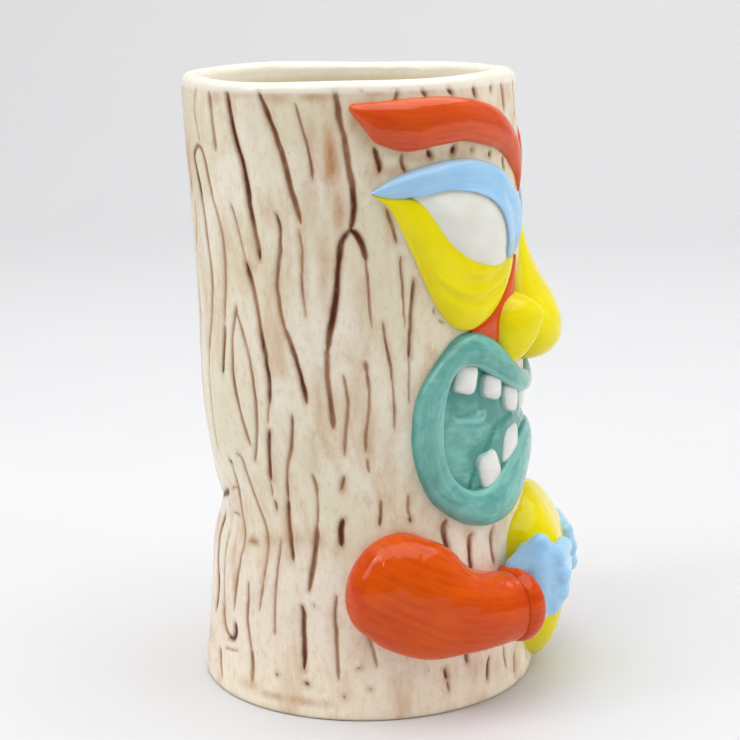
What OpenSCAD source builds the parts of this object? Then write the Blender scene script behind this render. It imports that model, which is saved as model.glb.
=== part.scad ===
// Tiki mug: a hollow log of fired clay with a face, two arms and a board laid on its front.
// Up is +Z, the standing plane is z = 0 and the face looks along -Y. The origin is the centre of the base.
// Places on the log are pairs [angle, height]: the angle turns from the front (0) towards -X (90).

/* [Log] */
// Height of the mug from base to rim
mug_h = 160; // [130:1:200]
// Diameter of the foot
base_d = 89; // [84:0.5:94]
// Diameter of the trunk between foot and rim
trunk_d = 85; // [80:0.5:90]
// Wall thickness of the cup
wall = 5; // [3.5:0.5:7]
// Thickness of the floor of the cup
floor_t = 7; // [5:0.5:12]
// How far the rim stands back from the centre of the foot
rim_back = 2.9; // [0:0.1:5]

/* [Waist] */
// Height of the waist above the base
waist_z = 50; // [40:1:60]
// How far the waist is drawn in all round
waist_in = 1.2; // [0:0.1:2.5]
// Extra depth of the pinch at the back
pinch_in = 2; // [0:0.1:3]

/* [Face relief] */
// Rise of the brows above the bark
brow_rise = 3.4; // [2:0.1:5]
// Rise of the eyelids above the bark
lid_rise = 3.4; // [2:0.1:5]
// Rise of the eyeballs above the bark
eye_rise = 4.6; // [3:0.1:6]
// Rise of the cheeks above the bark
cheek_rise = 2.8; // [2:0.1:4]
// Rise of the tip of the nose above the bark
nose_rise = 10.4; // [7:0.1:13]
// Rise of the lips at the corners of the mouth
lip_rise = 3.5; // [2.5:0.1:5]
// Rise of the teeth above the bark
tooth_rise = 2; // [1.5:0.1:3]

/* [Arms and board] */
// Half the thickness of the forearms, from front to back
arm_half = 9.9; // [8:0.1:12]
// Half the width of the board
board_half_w = 20; // [16:0.5:22]
// Distance from the mug's axis to the front of the board
board_reach = 53.6; // [51:0.1:56]

/* [Hidden] */

bark_colour = "#DDD0B8";
orange = "#D9531E";
blue = "#9CC4E8";
yellow = "#E9DC1B";
teal = "#5FAF9F";
white = "#E9E4DC";

// Heights below are written for a mug 160 mm high, and k fits them to mug_h.
k = mug_h / 160;
around = 64;
sink = 1.6;
ball_parts = 13;
rim_r = wall / 2;

// ---- the surface of the log ----

function bell(x) = exp(-x * x);
function smooth(t) = t <= 0 ? 0 : t >= 1 ? 1 : t * t * (3 - 2 * t);

// Radius of the log at a height, without the pinch
function trunk_r(z) = trunk_d / 2
    + (base_d - trunk_d) / 2 * exp(-z / (14 * k))
    - waist_in * bell((z / k - waist_z - 4) / 16)
    + 0.3 * smooth((z / k - 120) / 30);

// How far the log's axis is shifted along +Y at a height
function axis_y(z) = rim_back * pow(max(z, 0) / mug_h, 2.5) - 1.3 * bell((z / k - 45) / 25);

// Depth of the pinch, which is at the back of the waist only
function pinch(a, z) = pinch_in * bell((z / k - waist_z + 2) / 6.5) * bell((abs(a) - 180) / 42);

function bark_r(a, z) = trunk_r(z) - pinch(abs(a) > 180 ? 360 - abs(a) : a, z);

// A point at distance d outside the bark
function on_bark(a, z, d) = [-(bark_r(a, z) + d) * sin(a), axis_y(z) - (bark_r(a, z) + d) * cos(a), z];

// ---- curves through hand-set points ----

function curve_at(p0, p1, p2, p3, t) = 0.5 * (2 * p1 + (p2 - p0) * t
    + (2 * p0 - 5 * p1 + 4 * p2 - p3) * t * t + (3 * p1 - p0 - 3 * p2 + p3) * t * t * t);

function curve(p, steps) = concat(
    [for (i = [0:len(p) - 2], j = [0:steps - 1])
        curve_at(p[max(i - 1, 0)], p[i], p[i + 1], p[min(i + 2, len(p) - 1)], j / steps)],
    [p[len(p) - 1]]);

function closed_curve(p, steps) = let (n = len(p))
    [for (i = [0:n - 1], j = [0:steps - 1])
        curve_at(p[(i + n - 1) % n], p[i], p[(i + 1) % n], p[(i + 2) % n], j / steps)];

// The same points on the other side of the face, in the order that closes a loop
function other_side(p) = [for (i = [len(p) - 2:-1:1]) [-p[i][0], p[i][1]]];

// ---- solids from rows of points ----

// A closed skin over rows with the same number of points. Its ends are capped unless it is a ring.
module skin(rows, ring = false) {
    n = len(rows);
    m = len(rows[0]);
    last = ring ? n - 1 : n - 2;
    sides = [for (i = [0:last], j = [0:m - 1])
        let (this = i * m, next = ((i + 1) % n) * m, k1 = (j + 1) % m,
            a = this + j, b = this + k1, c = next + j, d = next + k1)
        each [[a, d, b], [a, c, d]]];
    caps = ring ? [] : concat(
        [for (j = [1:m - 2]) [0, j, j + 1]],
        [for (j = [1:m - 2]) [(n - 1) * m, (n - 1) * m + j + 1, (n - 1) * m + j]]);
    polyhedron([for (row = rows) each row], concat(sides, caps), convexity = 8);
}

// One row across a band: up from the bark at one edge, over the top and down at the other
function across(p, q, rise, parts) = concat(
    [on_bark(q[0], q[1] * k, -sink), on_bark(p[0], p[1] * k, -sink)],
    [for (j = [0:parts])
        let (u = (1 - cos(180 * j / parts)) / 2, s = p + (q - p) * u)
        on_bark(s[0], s[1] * k, rise * sin(180 * j / parts))]);

// A raised band between two edges, with the rise given at each pair of points. Seen from outside with
// the first points at the left, the first edge is the lower one.
module band(first, second, rises, steps = 2, parts = 6) {
    a = curve(first, steps);
    b = curve(second, steps);
    r = curve(rises, steps);
    skin([for (i = [0:len(a) - 1]) across(a[i], b[i], r[i], parts)]);
}

// A pillow inside a closed outline, seen from its middle
module pillow(outline, middle, rise, rows = 4, steps = 1) {
    edge = steps > 1 ? closed_curve(outline, steps) : outline;
    skin(concat(
        [[for (p = edge) let (s = middle + (p - middle) * 0.02) on_bark(s[0], s[1] * k, -sink)]],
        [[for (p = edge) on_bark(p[0], p[1] * k, -sink)]],
        [for (i = [0:rows])
            let (t = i == rows ? 0.02 : cos(90 * i / rows))
            [for (p = edge)
                let (s = middle + (p - middle) * t)
                on_bark(s[0], s[1] * k, rise * sin(90 * i / rows))]]));
}

// Makes one closed mesh of a cut piece, at its own size
module one_mesh() {
    resize([0, 0, 0]) children();
}

module cut_piece() {
    one_mesh() difference() {
        children(0);
        children([1:$children - 1]);
    }
}

module left_side() {
    mirror([1, 0, 0]) children();
}

// ---- the log ----

levels = [0.6, 2, 6, 12, 20, 30, 38, 44, 48, 52, 58, 66, 78, 92, 106, 120, 134, 146];
inner_levels = [150, 125, 100, 75, 56, 44, 25];

function round_row(z, d) = [for (i = [0:around - 1]) on_bark(360 * i / around - 180, z, d)];

// A very small ring on the axis, where a flat face closes
function centre_row(z) = [for (i = [0:around - 1])
    [-0.5 * sin(360 * i / around - 180), -0.5 * cos(360 * i / around - 180), z]];

outer_rows = [for (z = levels) round_row(z * k, z < 1 ? -1 : z < 3 ? -0.3 : 0)];
rim_rows = [for (i = [0:6]) round_row(mug_h - rim_r + rim_r * sin(30 * i), rim_r * (cos(30 * i) - 1))];
inner_rows = [for (z = inner_levels) round_row(z * k, -wall - 0.4 * (150 - z) / 130)];
floor_rows = [
    round_row(floor_t + 4, -wall - 1.6),
    round_row(floor_t + 1.2, -wall - 4.4),
    round_row(floor_t, -wall - 9),
    centre_row(floor_t)];
base_rows = [
    centre_row(0),
    [for (p = round_row(0, -1.8)) [p[0], p[1], 0]]];

module log_solid() {
    skin([for (row = concat(base_rows, outer_rows, rim_rows, inner_rows, floor_rows))
        [for (i = [around - 1:-1:0]) row[i]]]);
}

// The same outer surface without the cup, to cut the relief pieces to the bark
module log_core() {
    skin([for (row = concat(base_rows, outer_rows, [round_row(mug_h - rim_r, 0)]))
        [for (i = [around - 1:-1:0]) row[i]]]);
}

module log_body() {
    color(bark_colour) log_solid();
}

// ---- the eyes ----

brow_top = [[84.4, 154.2], [79.7, 154.9], [73.5, 155.2], [62, 155.7], [50, 155.5], [38, 154], [28, 151.5],
    [20, 147.5], [13, 142.5], [7.2, 130]];
brow_foot = [[83.8, 152.4], [79.9, 148.2], [76.3, 145.1], [67, 143], [56, 144], [46, 144.5], [36, 143],
    [27, 141], [19, 137], [6.8, 128.8]];
brow_shape = [0.3, 0.85, 0.95, 1, 1, 0.95, 0.9, 0.8, 0.7, 0.2];

module brow() {
    color(orange) cut_piece() {
        band(brow_top, brow_foot, brow_shape * brow_rise);
        log_core();
    }
}

eye_outline = [[64.5, 132.5], [60, 126], [56, 121.5], [51, 118], [46, 115.8], [40, 114.2], [34, 113.5],
    [29, 114.3], [25.5, 117], [25.5, 122], [28, 127], [34, 131.5], [42, 134], [50, 135], [58, 134.2]];

module eyeball_solid() {
    pillow(eye_outline, [42, 124], eye_rise, 4, 2);
}

module eyeball() {
    color(white) cut_piece() {
        eyeball_solid();
        log_core();
    }
}

lid_top = [[79, 133.8], [76, 135.2], [70, 137.5], [61, 139.5], [52, 140.5], [43, 140.3], [34, 138.5],
    [27, 136], [20, 131.8], [13, 127.5], [10.5, 122.5], [14.5, 117.2], [21, 114.2]];
lid_foot = [[79, 133.2], [75, 132.4], [70, 132.1], [62, 132.3], [54, 133.2], [47, 133], [40, 132.2],
    [34.5, 130.2], [30, 127.5], [27, 124.5], [25.8, 121], [26.3, 117.5], [25, 114.8]];
lid_shape = [0.15, 0.5, 0.8, 0.97, 1, 1, 1, 0.95, 0.85, 0.75, 0.65, 0.6, 0.3];

module lid_solid() {
    band(lid_top, lid_foot, lid_shape * lid_rise);
}

module eyelid() {
    color(blue) cut_piece() {
        lid_solid();
        log_core();
        eyeball_solid();
    }
}

cheek_edge = [[79, 133], [74, 130], [70, 124.5], [66.5, 118.5], [63, 112], [60, 107], [56.5, 102.7],
    [52, 99.3], [46.5, 98], [40.5, 99], [34, 101.5], [28, 105], [23, 109], [19.5, 113]];
socket_edge = [[77.5, 133], [68, 132.2], [62.5, 130.8], [59.5, 126.5], [57, 123], [54.5, 120],
    [51, 118], [47.5, 116.5], [43.5, 115.5], [39, 114.6], [34.5, 114], [30, 114.2], [26, 114.4],
    [21, 114.4]];
cheek_shape = [0.3, 0.75, 0.95, 1, 1, 1, 1, 1, 0.95, 0.9, 0.8, 0.7, 0.6, 0.35];

module cheek_solid() {
    band(socket_edge, cheek_edge, cheek_shape * cheek_rise);
}

module cheek() {
    color(yellow) cut_piece() {
        cheek_solid();
        log_core();
        eyeball_solid();
        lid_solid();
    }
}

// ---- the nose ----

strip_outside = [[15.5, 114], [21, 110.3], [27, 106], [34, 102.3], [40, 99.8], [45.5, 98]];
strip_inside = [[15, 113], [18, 107], [21, 101], [24, 96], [29, 93], [41, 94.5]];

module strip_solid() {
    band(strip_inside, strip_outside, [0.6, 1, 1.2, 1.2, 1.2, 0.8]);
}

module nose_strip() {
    color(orange) cut_piece() {
        strip_solid();
        log_core();
        cheek_solid();
        lid_solid();
    }
}

nose_side = [[1.5, 121.8], [5, 117], [9.5, 112], [14.5, 107], [18.5, 101], [20, 95], [18, 90],
    [12, 86.3], [3, 84.6]];
nose_shape = [0.05, 0.13, 0.27, 0.49, 0.82, 1, 0.94, 0.63, 0.14];

module nose_solid() {
    band([for (p = nose_side) [-p[0], p[1]]], nose_side, nose_shape * nose_rise, 2, 8);
}

module nose() {
    color(yellow) cut_piece() {
        nose_solid();
        log_core();
        strip_solid();
        left_side() strip_solid();
        lid_solid();
        left_side() lid_solid();
    }
}

wing_edge = [[29.5, 102.5], [32.4, 98.5], [32.8, 94], [31, 90], [28, 87.2], [24, 86.8], [21.5, 89],
    [19.5, 93], [11.5, 98.5], [12, 102], [18, 104.6], [24.5, 104.4]];

module nostril_solid() {
    pillow(wing_edge, [17.5, 99], nose_rise * 0.79, 4, 2);
}

module nostril() {
    color(yellow) cut_piece() {
        nostril_solid();
        log_core();
        nose_solid();
        strip_solid();
        cheek_solid();
    }
}

// ---- the mouth ----

lip_edge = [[0, 81.7], [10, 83.4], [20, 86.3], [30, 92], [38, 96], [45, 97.5], [52, 96.3], [58.5, 92],
    [64, 87], [67.5, 81.5], [69, 75], [69, 68.5], [67, 61.5], [63, 55.5], [57, 51.5], [50, 48.5],
    [42, 47], [34, 47], [26, 48.3], [17, 51.5], [8, 54.8], [0, 56]];
mouth_edge = [[0, 76.4], [12.7, 77.6], [21.5, 79.8], [29.6, 82.6], [35.9, 85.2], [41.9, 87.8], [47.2, 89.2],
    [51.8, 88.5], [54.3, 86.4], [56, 83], [57.3, 79], [58, 74], [58, 69.5], [57.1, 65.5], [54.8, 61.6],
    [51.1, 58.7], [45.6, 57], [39.4, 57.3], [32.6, 59.3], [25.4, 62.4], [14.5, 66.8], [0, 68.2]];

function lip_height(a) = lip_rise * (0.65 + 0.35 * smooth(abs(a) / 40));

module lips_solid() {
    outside = concat(lip_edge, other_side(lip_edge));
    inside = concat(mouth_edge, other_side(mouth_edge));
    skin([for (i = [0:len(outside) - 1])
        across(inside[i], outside[i], lip_height(outside[i][0]), 6)], ring = true);
}

panel_rise = 0.7;
panel_top = [[62, 74], [60, 80], [56, 88], [48, 93], [40, 92], [30, 87.5], [20, 83], [8, 80.5], [0, 80]];
panel_foot = [[62, 70], [60, 63], [56, 56.5], [48, 52.5], [40, 51.5], [30, 53], [20, 56.5], [8, 60],
    [0, 60.5]];

module panel_solid() {
    top = concat(panel_top, other_side(panel_top), [[-62, 74]]);
    foot = concat(panel_foot, other_side(panel_foot), [[-62, 70]]);
    band(top, foot, [for (p = top) panel_rise], 2, 4);
}

module mouth_panel() {
    color(teal) cut_piece() {
        panel_solid();
        log_core();
    }
}

// The rounded outline inside four corners: top outer, top inner, bottom inner and bottom outer
function tooth_edge(c, n = 12) = [for (i = [0:n - 1])
    let (p = cos(360 * i / n), q = -sin(360 * i / n),
        u = sign(p) * sqrt(abs(p)), v = sign(q) * sqrt(abs(q)))
    ((1 + v) * ((1 + u) * c[0] + (1 - u) * c[1]) + (1 - v) * ((1 - u) * c[2] + (1 + u) * c[3])) / 4];

module tooth(corners) {
    pillow(tooth_edge(corners), (corners[0] + corners[1] + corners[2] + corners[3]) / 4, tooth_rise, 2);
}

upper_set = [
    [[51.5, 90], [41.2, 89.5], [44, 80.8], [54.3, 83.2]],
    [[39.4, 86.8], [29.2, 84.6], [30.6, 77.7], [41, 80.4]],
    [[28, 82.6], [15.6, 80], [17, 72.4], [27.4, 74.9]],
    [[13.4, 79.4], [1.2, 79], [1.2, 71.8], [13.2, 72.2]]];
lower_set = [
    [[44.4, 64.6], [34.2, 67.2], [29.2, 58.6], [41.4, 54.2]],
    [[28.4, 69.9], [16.2, 71.2], [15.2, 63], [30.2, 59.8]]];

module tooth_row(set) {
    for (corners = set) {
        tooth(corners);
        left_side() tooth(corners);
    }
}

module upper_teeth() {
    color(white) cut_piece() {
        tooth_row(upper_set);
        log_core();
        panel_solid();
    }
}

module lower_teeth() {
    color(white) cut_piece() {
        tooth_row(lower_set);
        log_core();
        panel_solid();
    }
}

module lips() {
    color(teal) cut_piece() {
        lips_solid();
        log_core();
        panel_solid();
        tooth_row(upper_set);
        tooth_row(lower_set);
        nose_solid();
    }
}

// ---- the board, the arms and the hands ----

// Each row is [height, share of the half width, share of the reach]
board_rows = [[2, 0.06, 0.85], [5, 0.32, 0.9], [11, 0.62, 0.955], [20, 0.86, 0.99], [30, 1, 1],
    [38, 1.02, 0.975], [43, 0.94, 0.93], [47.2, 0.72, 0.88], [49.6, 0.42, 0.84], [50.6, 0.06, 0.81]];
board_back = 33;

module board_solid() {
    skin([for (row = curve(board_rows, 2))
        let (w = row[1] * board_half_w, reach = row[2] * board_reach - board_back)
        concat([[w, -board_back + 3, row[0] * k], [-w, -board_back + 3, row[0] * k]],
            [for (j = [0:10])
                let (c = cos(18 * j), s = sin(18 * j))
                [-w * sign(c) * pow(abs(c), 0.5), -board_back - reach * pow(s, 0.5), row[0] * k]])]);
}

module board() {
    color(yellow) cut_piece() {
        board_solid();
        log_core();
    }
}

// A sausage laid on the bark with a round end at each end. Each station is [angle, height, height of
// its middle over the bark, half width, half thickness], and ends are the lengths of the round ends.
module limb(stations, ends, parts = 12) {
    s = curve(stations, 2);
    last = len(s) - 1;
    middle = [for (p = s) on_bark(p[0], p[1] * k, p[2])];
    outward = [for (p = s) [-sin(p[0]), -cos(p[0]), 0]];
    along = [for (i = [0:last]) middle[min(i + 1, last)] - middle[max(i - 1, 0)]];
    side = [for (i = [0:last]) cross(along[i], outward[i]) / norm(cross(along[i], outward[i]))];
    function row(i, push, shrink) = [for (j = [0:parts - 1])
        middle[i] + along[i] / norm(along[i]) * push
            + side[i] * s[i][3] * shrink * cos(360 * j / parts)
            - outward[i] * s[i][4] * shrink * sin(360 * j / parts)];
    skin(concat(
        [for (t = [85, 65, 40, 20]) row(0, -ends[0] * sin(t), cos(t))],
        [for (i = [0:last]) row(i, 0, 1)],
        [for (t = [20, 40, 65, 85]) row(last, ends[1] * sin(t), cos(t))]));
}

arm_line = [[77, 35.1, 1, 14.3, 0.93 * arm_half], [71, 32.5, 1.2, 14.9, 0.98 * arm_half],
    [62.8, 29.1, 1.5, 13.8, arm_half], [53.7, 27, 1.8, 11.2, arm_half], [45, 26, 2.5, 9.8, arm_half],
    [40, 25.8, 3.3, 9.3, 0.96 * arm_half], [35.5, 25.8, 4.2, 9, 0.9 * arm_half]];
cuff_line = [[36.7, 25.8, 3.9, 10, 1.01 * arm_half], [34.6, 25.8, 4.4, 10.3, 1.04 * arm_half],
    [33, 25.8, 4.6, 9.7, 0.97 * arm_half]];

module arm_solid() {
    limb(arm_line, [12, 1]);
}

module cuff_solid() {
    limb(cuff_line, [1, 1.3]);
}

module cuff() {
    color(orange) cut_piece() {
        cuff_solid();
        log_core();
        board_solid();
    }
}

module arm() {
    color(orange) cut_piece() {
        arm_solid();
        log_core();
        board_solid();
        cuff_solid();
    }
}

// The palm, the four fingers and the thumb: [start, end, radius at the start, radius at the end]
fist = [
    [[-21.5, -45, 25], [-21.5, -45, 35.5], 5.6, 5.6],
    [[-20.5, -48.3, 25.5], [-20.5, -48, 36.5], 4.8, 4.2],
    [[-21, -50.4, 36.4], [-10, -52.6, 36], 2.9, 2.6],
    [[-21, -51.8, 32], [-8.5, -52.6, 31.6], 3, 2.7],
    [[-21, -51.3, 27.4], [-8.5, -52.4, 27], 3, 2.7],
    [[-20.5, -49.2, 23.2], [-10, -51.2, 22.9], 2.8, 2.5],
    [[-24.4, -40.8, 34.5], [-23.2, -46.6, 41.1], 3.4, 2.6]];

module fist_solid() {
    for (p = fist) {
        hull() {
            translate([p[0][0], p[0][1], p[0][2] * k]) sphere(r = p[2], $fn = ball_parts);
            translate([p[1][0], p[1][1], p[1][2] * k]) sphere(r = p[3], $fn = ball_parts);
        }
    }
}

module hand() {
    color(blue) cut_piece() {
        fist_solid();
        log_core();
        board_solid();
        arm_solid();
        cuff_solid();
    }
}

// ---- the nodes ----

log_body();
brow();  // brow_right
left_side() brow();  // brow_left
eyelid();  // eyelid_right
left_side() eyelid();  // eyelid_left
eyeball();  // eyeball_right
left_side() eyeball();  // eyeball_left
cheek();  // cheek_right
left_side() cheek();  // cheek_left
nose_strip();  // nose_strip_right
left_side() nose_strip();  // nose_strip_left
nose();
nostril();  // nostril_right
left_side() nostril();  // nostril_left
mouth_panel();
upper_teeth();
lower_teeth();
lips();
arm();  // arm_right
left_side() arm();  // arm_left
cuff();  // cuff_right
left_side() cuff();  // cuff_left
hand();  // hand_right
left_side() hand();  // hand_left
board();
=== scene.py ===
import math

import bmesh
import bpy
import numpy as np
from mathutils import Matrix, Vector

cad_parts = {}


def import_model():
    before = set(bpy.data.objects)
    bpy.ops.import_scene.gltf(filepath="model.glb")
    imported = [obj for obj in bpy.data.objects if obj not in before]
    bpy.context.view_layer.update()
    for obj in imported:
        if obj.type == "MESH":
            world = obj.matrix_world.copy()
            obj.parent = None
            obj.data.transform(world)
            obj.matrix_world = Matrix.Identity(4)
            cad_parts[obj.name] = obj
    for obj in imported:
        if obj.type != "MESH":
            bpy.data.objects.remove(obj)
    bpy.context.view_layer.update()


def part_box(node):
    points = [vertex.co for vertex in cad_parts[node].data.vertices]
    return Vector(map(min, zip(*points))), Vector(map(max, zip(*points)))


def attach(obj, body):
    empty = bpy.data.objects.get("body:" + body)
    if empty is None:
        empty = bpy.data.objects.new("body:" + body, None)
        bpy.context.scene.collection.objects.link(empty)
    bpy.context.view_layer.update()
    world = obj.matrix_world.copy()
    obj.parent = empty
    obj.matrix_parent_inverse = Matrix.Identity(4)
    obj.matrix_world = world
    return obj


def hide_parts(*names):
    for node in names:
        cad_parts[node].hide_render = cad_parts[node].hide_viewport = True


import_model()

# -------- sizes
# Lengths in this script are millimetres until a mesh is made. A place on the log is a pair
# (angle, height): the angle turns from the front of the face (0) towards -X (90 degrees).
MM = 0.001
MUG_H = float(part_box("log_body")[1][2] / MM)
# The outlines are drawn for a mug 160 mm high, and K brings their heights to this one
K = MUG_H / 160
TRUNK_R = 42.5
# One degree round the log is about this long
DEGREE = 0.75
FOOT_FLARE, FLARE_HEIGHT = 2.0, 14
RIM_BACK, BELLY_OUT, BELLY_Z = 2.9, 1.3, 45
WAIST_Z, WAIST_IN, PINCH_IN = 50.0, 1.2, 2.0
WALL = 5.0
FLOOR_T = 7.0
LIP_R = 2.5


def bell(x):
    return np.exp(-x * x)


def smooth(t):
    t = np.clip(t, 0, 1)
    return t * t * (3 - 2 * t)


def axis_y(z):
    """How far the log's axis is shifted along +Y at a height."""
    return RIM_BACK * (np.maximum(z, 0) / MUG_H) ** 2.5 - BELLY_OUT * bell((z / K - BELLY_Z) / 25)


def turned_half(a):
    """An angle's distance from the front of the face, from 0 to 180 degrees."""
    return np.abs((np.asarray(a, float) + 180) % 360 - 180)


def bark_r(a, z):
    """Radius of the log, with the flare of the foot, the waist and the pinch at the back."""
    r = TRUNK_R + FOOT_FLARE * np.exp(-z / (FLARE_HEIGHT * K)) - WAIST_IN * bell((z / K - WAIST_Z - 4) / 16)
    r = r + 0.3 * smooth((z / K - 120) / 30)
    return r - PINCH_IN * bell((z / K - WAIST_Z + 2) / 6.5) * bell((turned_half(a) - 180) / 42)


def on_bark(a, z, d=0.0):
    """Points at distance d outside the bark."""
    a, z, d = np.broadcast_arrays(np.asarray(a, float), np.asarray(z, float), np.asarray(d, float))
    r = bark_r(a, z) + d
    t = np.radians(a)
    return np.stack([-r * np.sin(t), axis_y(z) - r * np.cos(t), z], -1)


# -------- curves
def places(text):
    """Rows of numbers from a text, commas between them: mostly places on the log, as angle, height and more."""
    return [tuple(float(x) for x in place.split()) for place in text.split(",")]


def strokes(*texts):
    """Strokes from texts, one each: half width, strength, a colon and the places."""
    return [(*places(head)[0], places(line)) for head, line in (text.split(":") for text in texts)]


def curve(points, steps, closed=False):
    """A smooth curve through points, with the given number of steps between two of them."""
    p = np.asarray(points, float)
    n = len(p)
    spans = n if closed else n - 1
    index = np.arange(spans)

    def pick(k):
        return p[(index + k) % n] if closed else p[np.clip(index + k, 0, n - 1)]

    p0, p1, p2, p3 = (pick(k)[:, None] for k in (-1, 0, 1, 2))
    t = (np.arange(steps) / steps).reshape((1, steps) + (1,) * (p.ndim - 1))
    q = 0.5 * (2 * p1 + (p2 - p0) * t + (2 * p0 - 5 * p1 + 4 * p2 - p3) * t * t
               + (3 * p1 - p0 - 3 * p2 + p3) * t ** 3)
    q = q.reshape((spans * steps,) + p.shape[1:])
    return q if closed else np.concatenate([q, p[-1:]])


def other_side(points):
    """The mirrored points that close a loop which starts and ends on the middle of the face."""
    return [(-a, z) for a, z in points[-2:0:-1]]


def value_noise(x, y, seed):
    """Smooth noise from -1 to 1 on a plane, one cell to a unit, the same on each run."""
    xi, yi = np.floor(x).astype(int), np.floor(y).astype(int)
    fx, fy = smooth(x - xi), smooth(y - yi)

    def corner(i, j):
        # large odd factors scatter the values of the corners
        h = np.sin(i * 127.1 + j * 311.7 + seed * 74.7) * 43758.5453
        return (h - np.floor(h)) * 2 - 1

    low = corner(xi, yi) * (1 - fx) + corner(xi + 1, yi) * fx
    high = corner(xi, yi + 1) * (1 - fx) + corner(xi + 1, yi + 1) * fx
    return low * (1 - fy) + high * fy


# -------- meshes
def outward(points, faces):
    """The faces of a closed skin, turned round if the skin is inside out."""
    volume = 0.0
    for sides in {len(f) for f in faces}:
        group = np.array([f for f in faces if len(f) == sides])
        first = points[group[:, 0]]
        for i in range(1, sides - 1):
            volume += (first * np.cross(points[group[:, i]], points[group[:, i + 1]])).sum()
    return faces if volume > 0 else [f[::-1] for f in faces]


def make_mesh(name, points, faces, fields=None, mirrored=False):
    """A smooth-shaded object from points in millimetres. fields are per-point attributes."""
    points = np.array(points, float)
    if mirrored:
        points[:, 0] *= -1
    faces = outward(points, faces)
    mesh = bpy.data.meshes.new(name)
    mesh.from_pydata((points * MM).tolist(), [], faces)
    mesh.validate()
    for key, values in (fields or {}).items():
        values = np.asarray(values, np.float32)
        kind = "FLOAT" if values.ndim == 1 else "FLOAT_VECTOR"
        data = mesh.attributes.new(key, kind, "POINT").data
        data.foreach_set("value" if values.ndim == 1 else "vector", values.ravel())
    mesh.polygons.foreach_set("use_smooth", [True] * len(mesh.polygons))
    obj = bpy.data.objects.new(name, mesh)
    bpy.context.scene.collection.objects.link(obj)
    return obj


def skin_faces(rows, columns, ring=False):
    """Faces over rows of points whose columns close round. Without a ring, the two ends get a cap."""
    faces = []
    for i in range(rows if ring else rows - 1):
        low, high = i * columns, (i + 1) % rows * columns
        for j in range(columns):
            k = (j + 1) % columns
            faces.append((low + j, high + j, high + k, low + k))
    if not ring:
        faces.append(tuple(range(columns)))
        faces.append(tuple(range(rows * columns - 1, (rows - 1) * columns - 1, -1)))
    return faces


def values_of(obj, key):
    """One of the fields a mesh carries on its points."""
    attribute = obj.data.attributes[key]
    wide = 3 if attribute.data_type == "FLOAT_VECTOR" else 1
    flat = np.zeros(len(obj.data.vertices) * wide, np.float32)
    attribute.data.foreach_get("vector" if wide == 3 else "value", flat)
    return flat.reshape(-1, wide) if wide == 3 else flat


def give_values(obj, key, values):
    attributes = obj.data.attributes
    attribute = attributes[key] if key in attributes else attributes.new(key, "FLOAT", "POINT")
    attribute.data.foreach_set("value", np.asarray(values, np.float32))


def dome(u, power):
    """Height from 0 to 1 across a band, where u goes from 0 at one edge to 1 at the other."""
    return np.maximum(1 - np.abs(2 * u - 1) ** power, 0) ** (1 / power)


def along_line(points):
    """The length of a line up to each of its points."""
    return np.concatenate([[0], np.cumsum(np.linalg.norm(np.diff(points, axis=0), axis=1))])


def stroke_field(*axes):
    """The directions of the brush, from the distances along and across a piece."""
    return np.stack(np.broadcast_arrays(*axes), -1).reshape(-1, 3)


# How far the glazed pieces reach into the bark
SINK = 1.2


def band(name, first, second, rises, steps=14, parts=28, power=2.2, ring=False, mirrored=False, lift=None):
    """A raised band on the bark between two edges. Its stroke field runs along and across it."""
    a, b, r = (curve(p, steps, ring) for p in (first, second, rises))
    u = (1 - np.cos(np.pi * np.arange(parts + 1) / parts)) / 2
    place = a[:, None] + (b - a)[:, None] * u[None, :, None]
    height = r[:, None] * dome(u, power)[None]
    if lift is not None:
        height = lift(place[..., 0], place[..., 1], height)
    top = on_bark(place[..., 0], place[..., 1] * K, height)
    low_b = on_bark(b[:, 0], b[:, 1] * K, -SINK)[:, None]
    low_a = on_bark(a[:, 0], a[:, 1] * K, -SINK)[:, None]
    rows = np.concatenate([low_a, top, low_b], 1)
    n, m = rows.shape[:2]
    along = along_line(top[:, parts // 2])[:, None]
    width = np.linalg.norm(top[:, 0] - top[:, -1], axis=1)[:, None]
    across = np.concatenate([[0], u, [1]])
    edge = np.abs(2 * across - 1)[None] * np.ones((n, 1))
    fields = {"stroke": stroke_field(along, (across - 0.5) * width, 0.0), "edge": edge.ravel()}
    return make_mesh(name, rows.reshape(-1, 3), skin_faces(n, m, ring), fields, mirrored)


def pillow(name, outline, middle, rise, rows=14, power=2.0, mirrored=False, base=0.0):
    """A dome inside a closed outline of (angle, height) points, from a base level over the bark."""
    edge = np.asarray(outline, float)
    tip = 0.015
    t = np.concatenate([[1.0], np.cos(np.pi / 2 * np.arange(rows) / rows), [tip]])
    height = base + rise * np.maximum(1 - t ** power, 0) ** (1 / power)
    height[0] = min(base, 0) - SINK
    place = middle + (edge - middle)[None] * t[:, None, None]
    points = on_bark(place[..., 0], place[..., 1] * K, height[:, None])
    n, m = points.shape[:2]
    fields = {"stroke": stroke_field(place[..., 0] * DEGREE, place[..., 1], 0.0), "edge": np.repeat(t, m)}
    return make_mesh(name, points.reshape(-1, 3), skin_faces(n, m), fields, mirrored)


def rounded(x, power):
    """A sine or cosine bent so that a circle turns into a rounded box."""
    return np.sign(x) * np.abs(x) ** power


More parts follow.
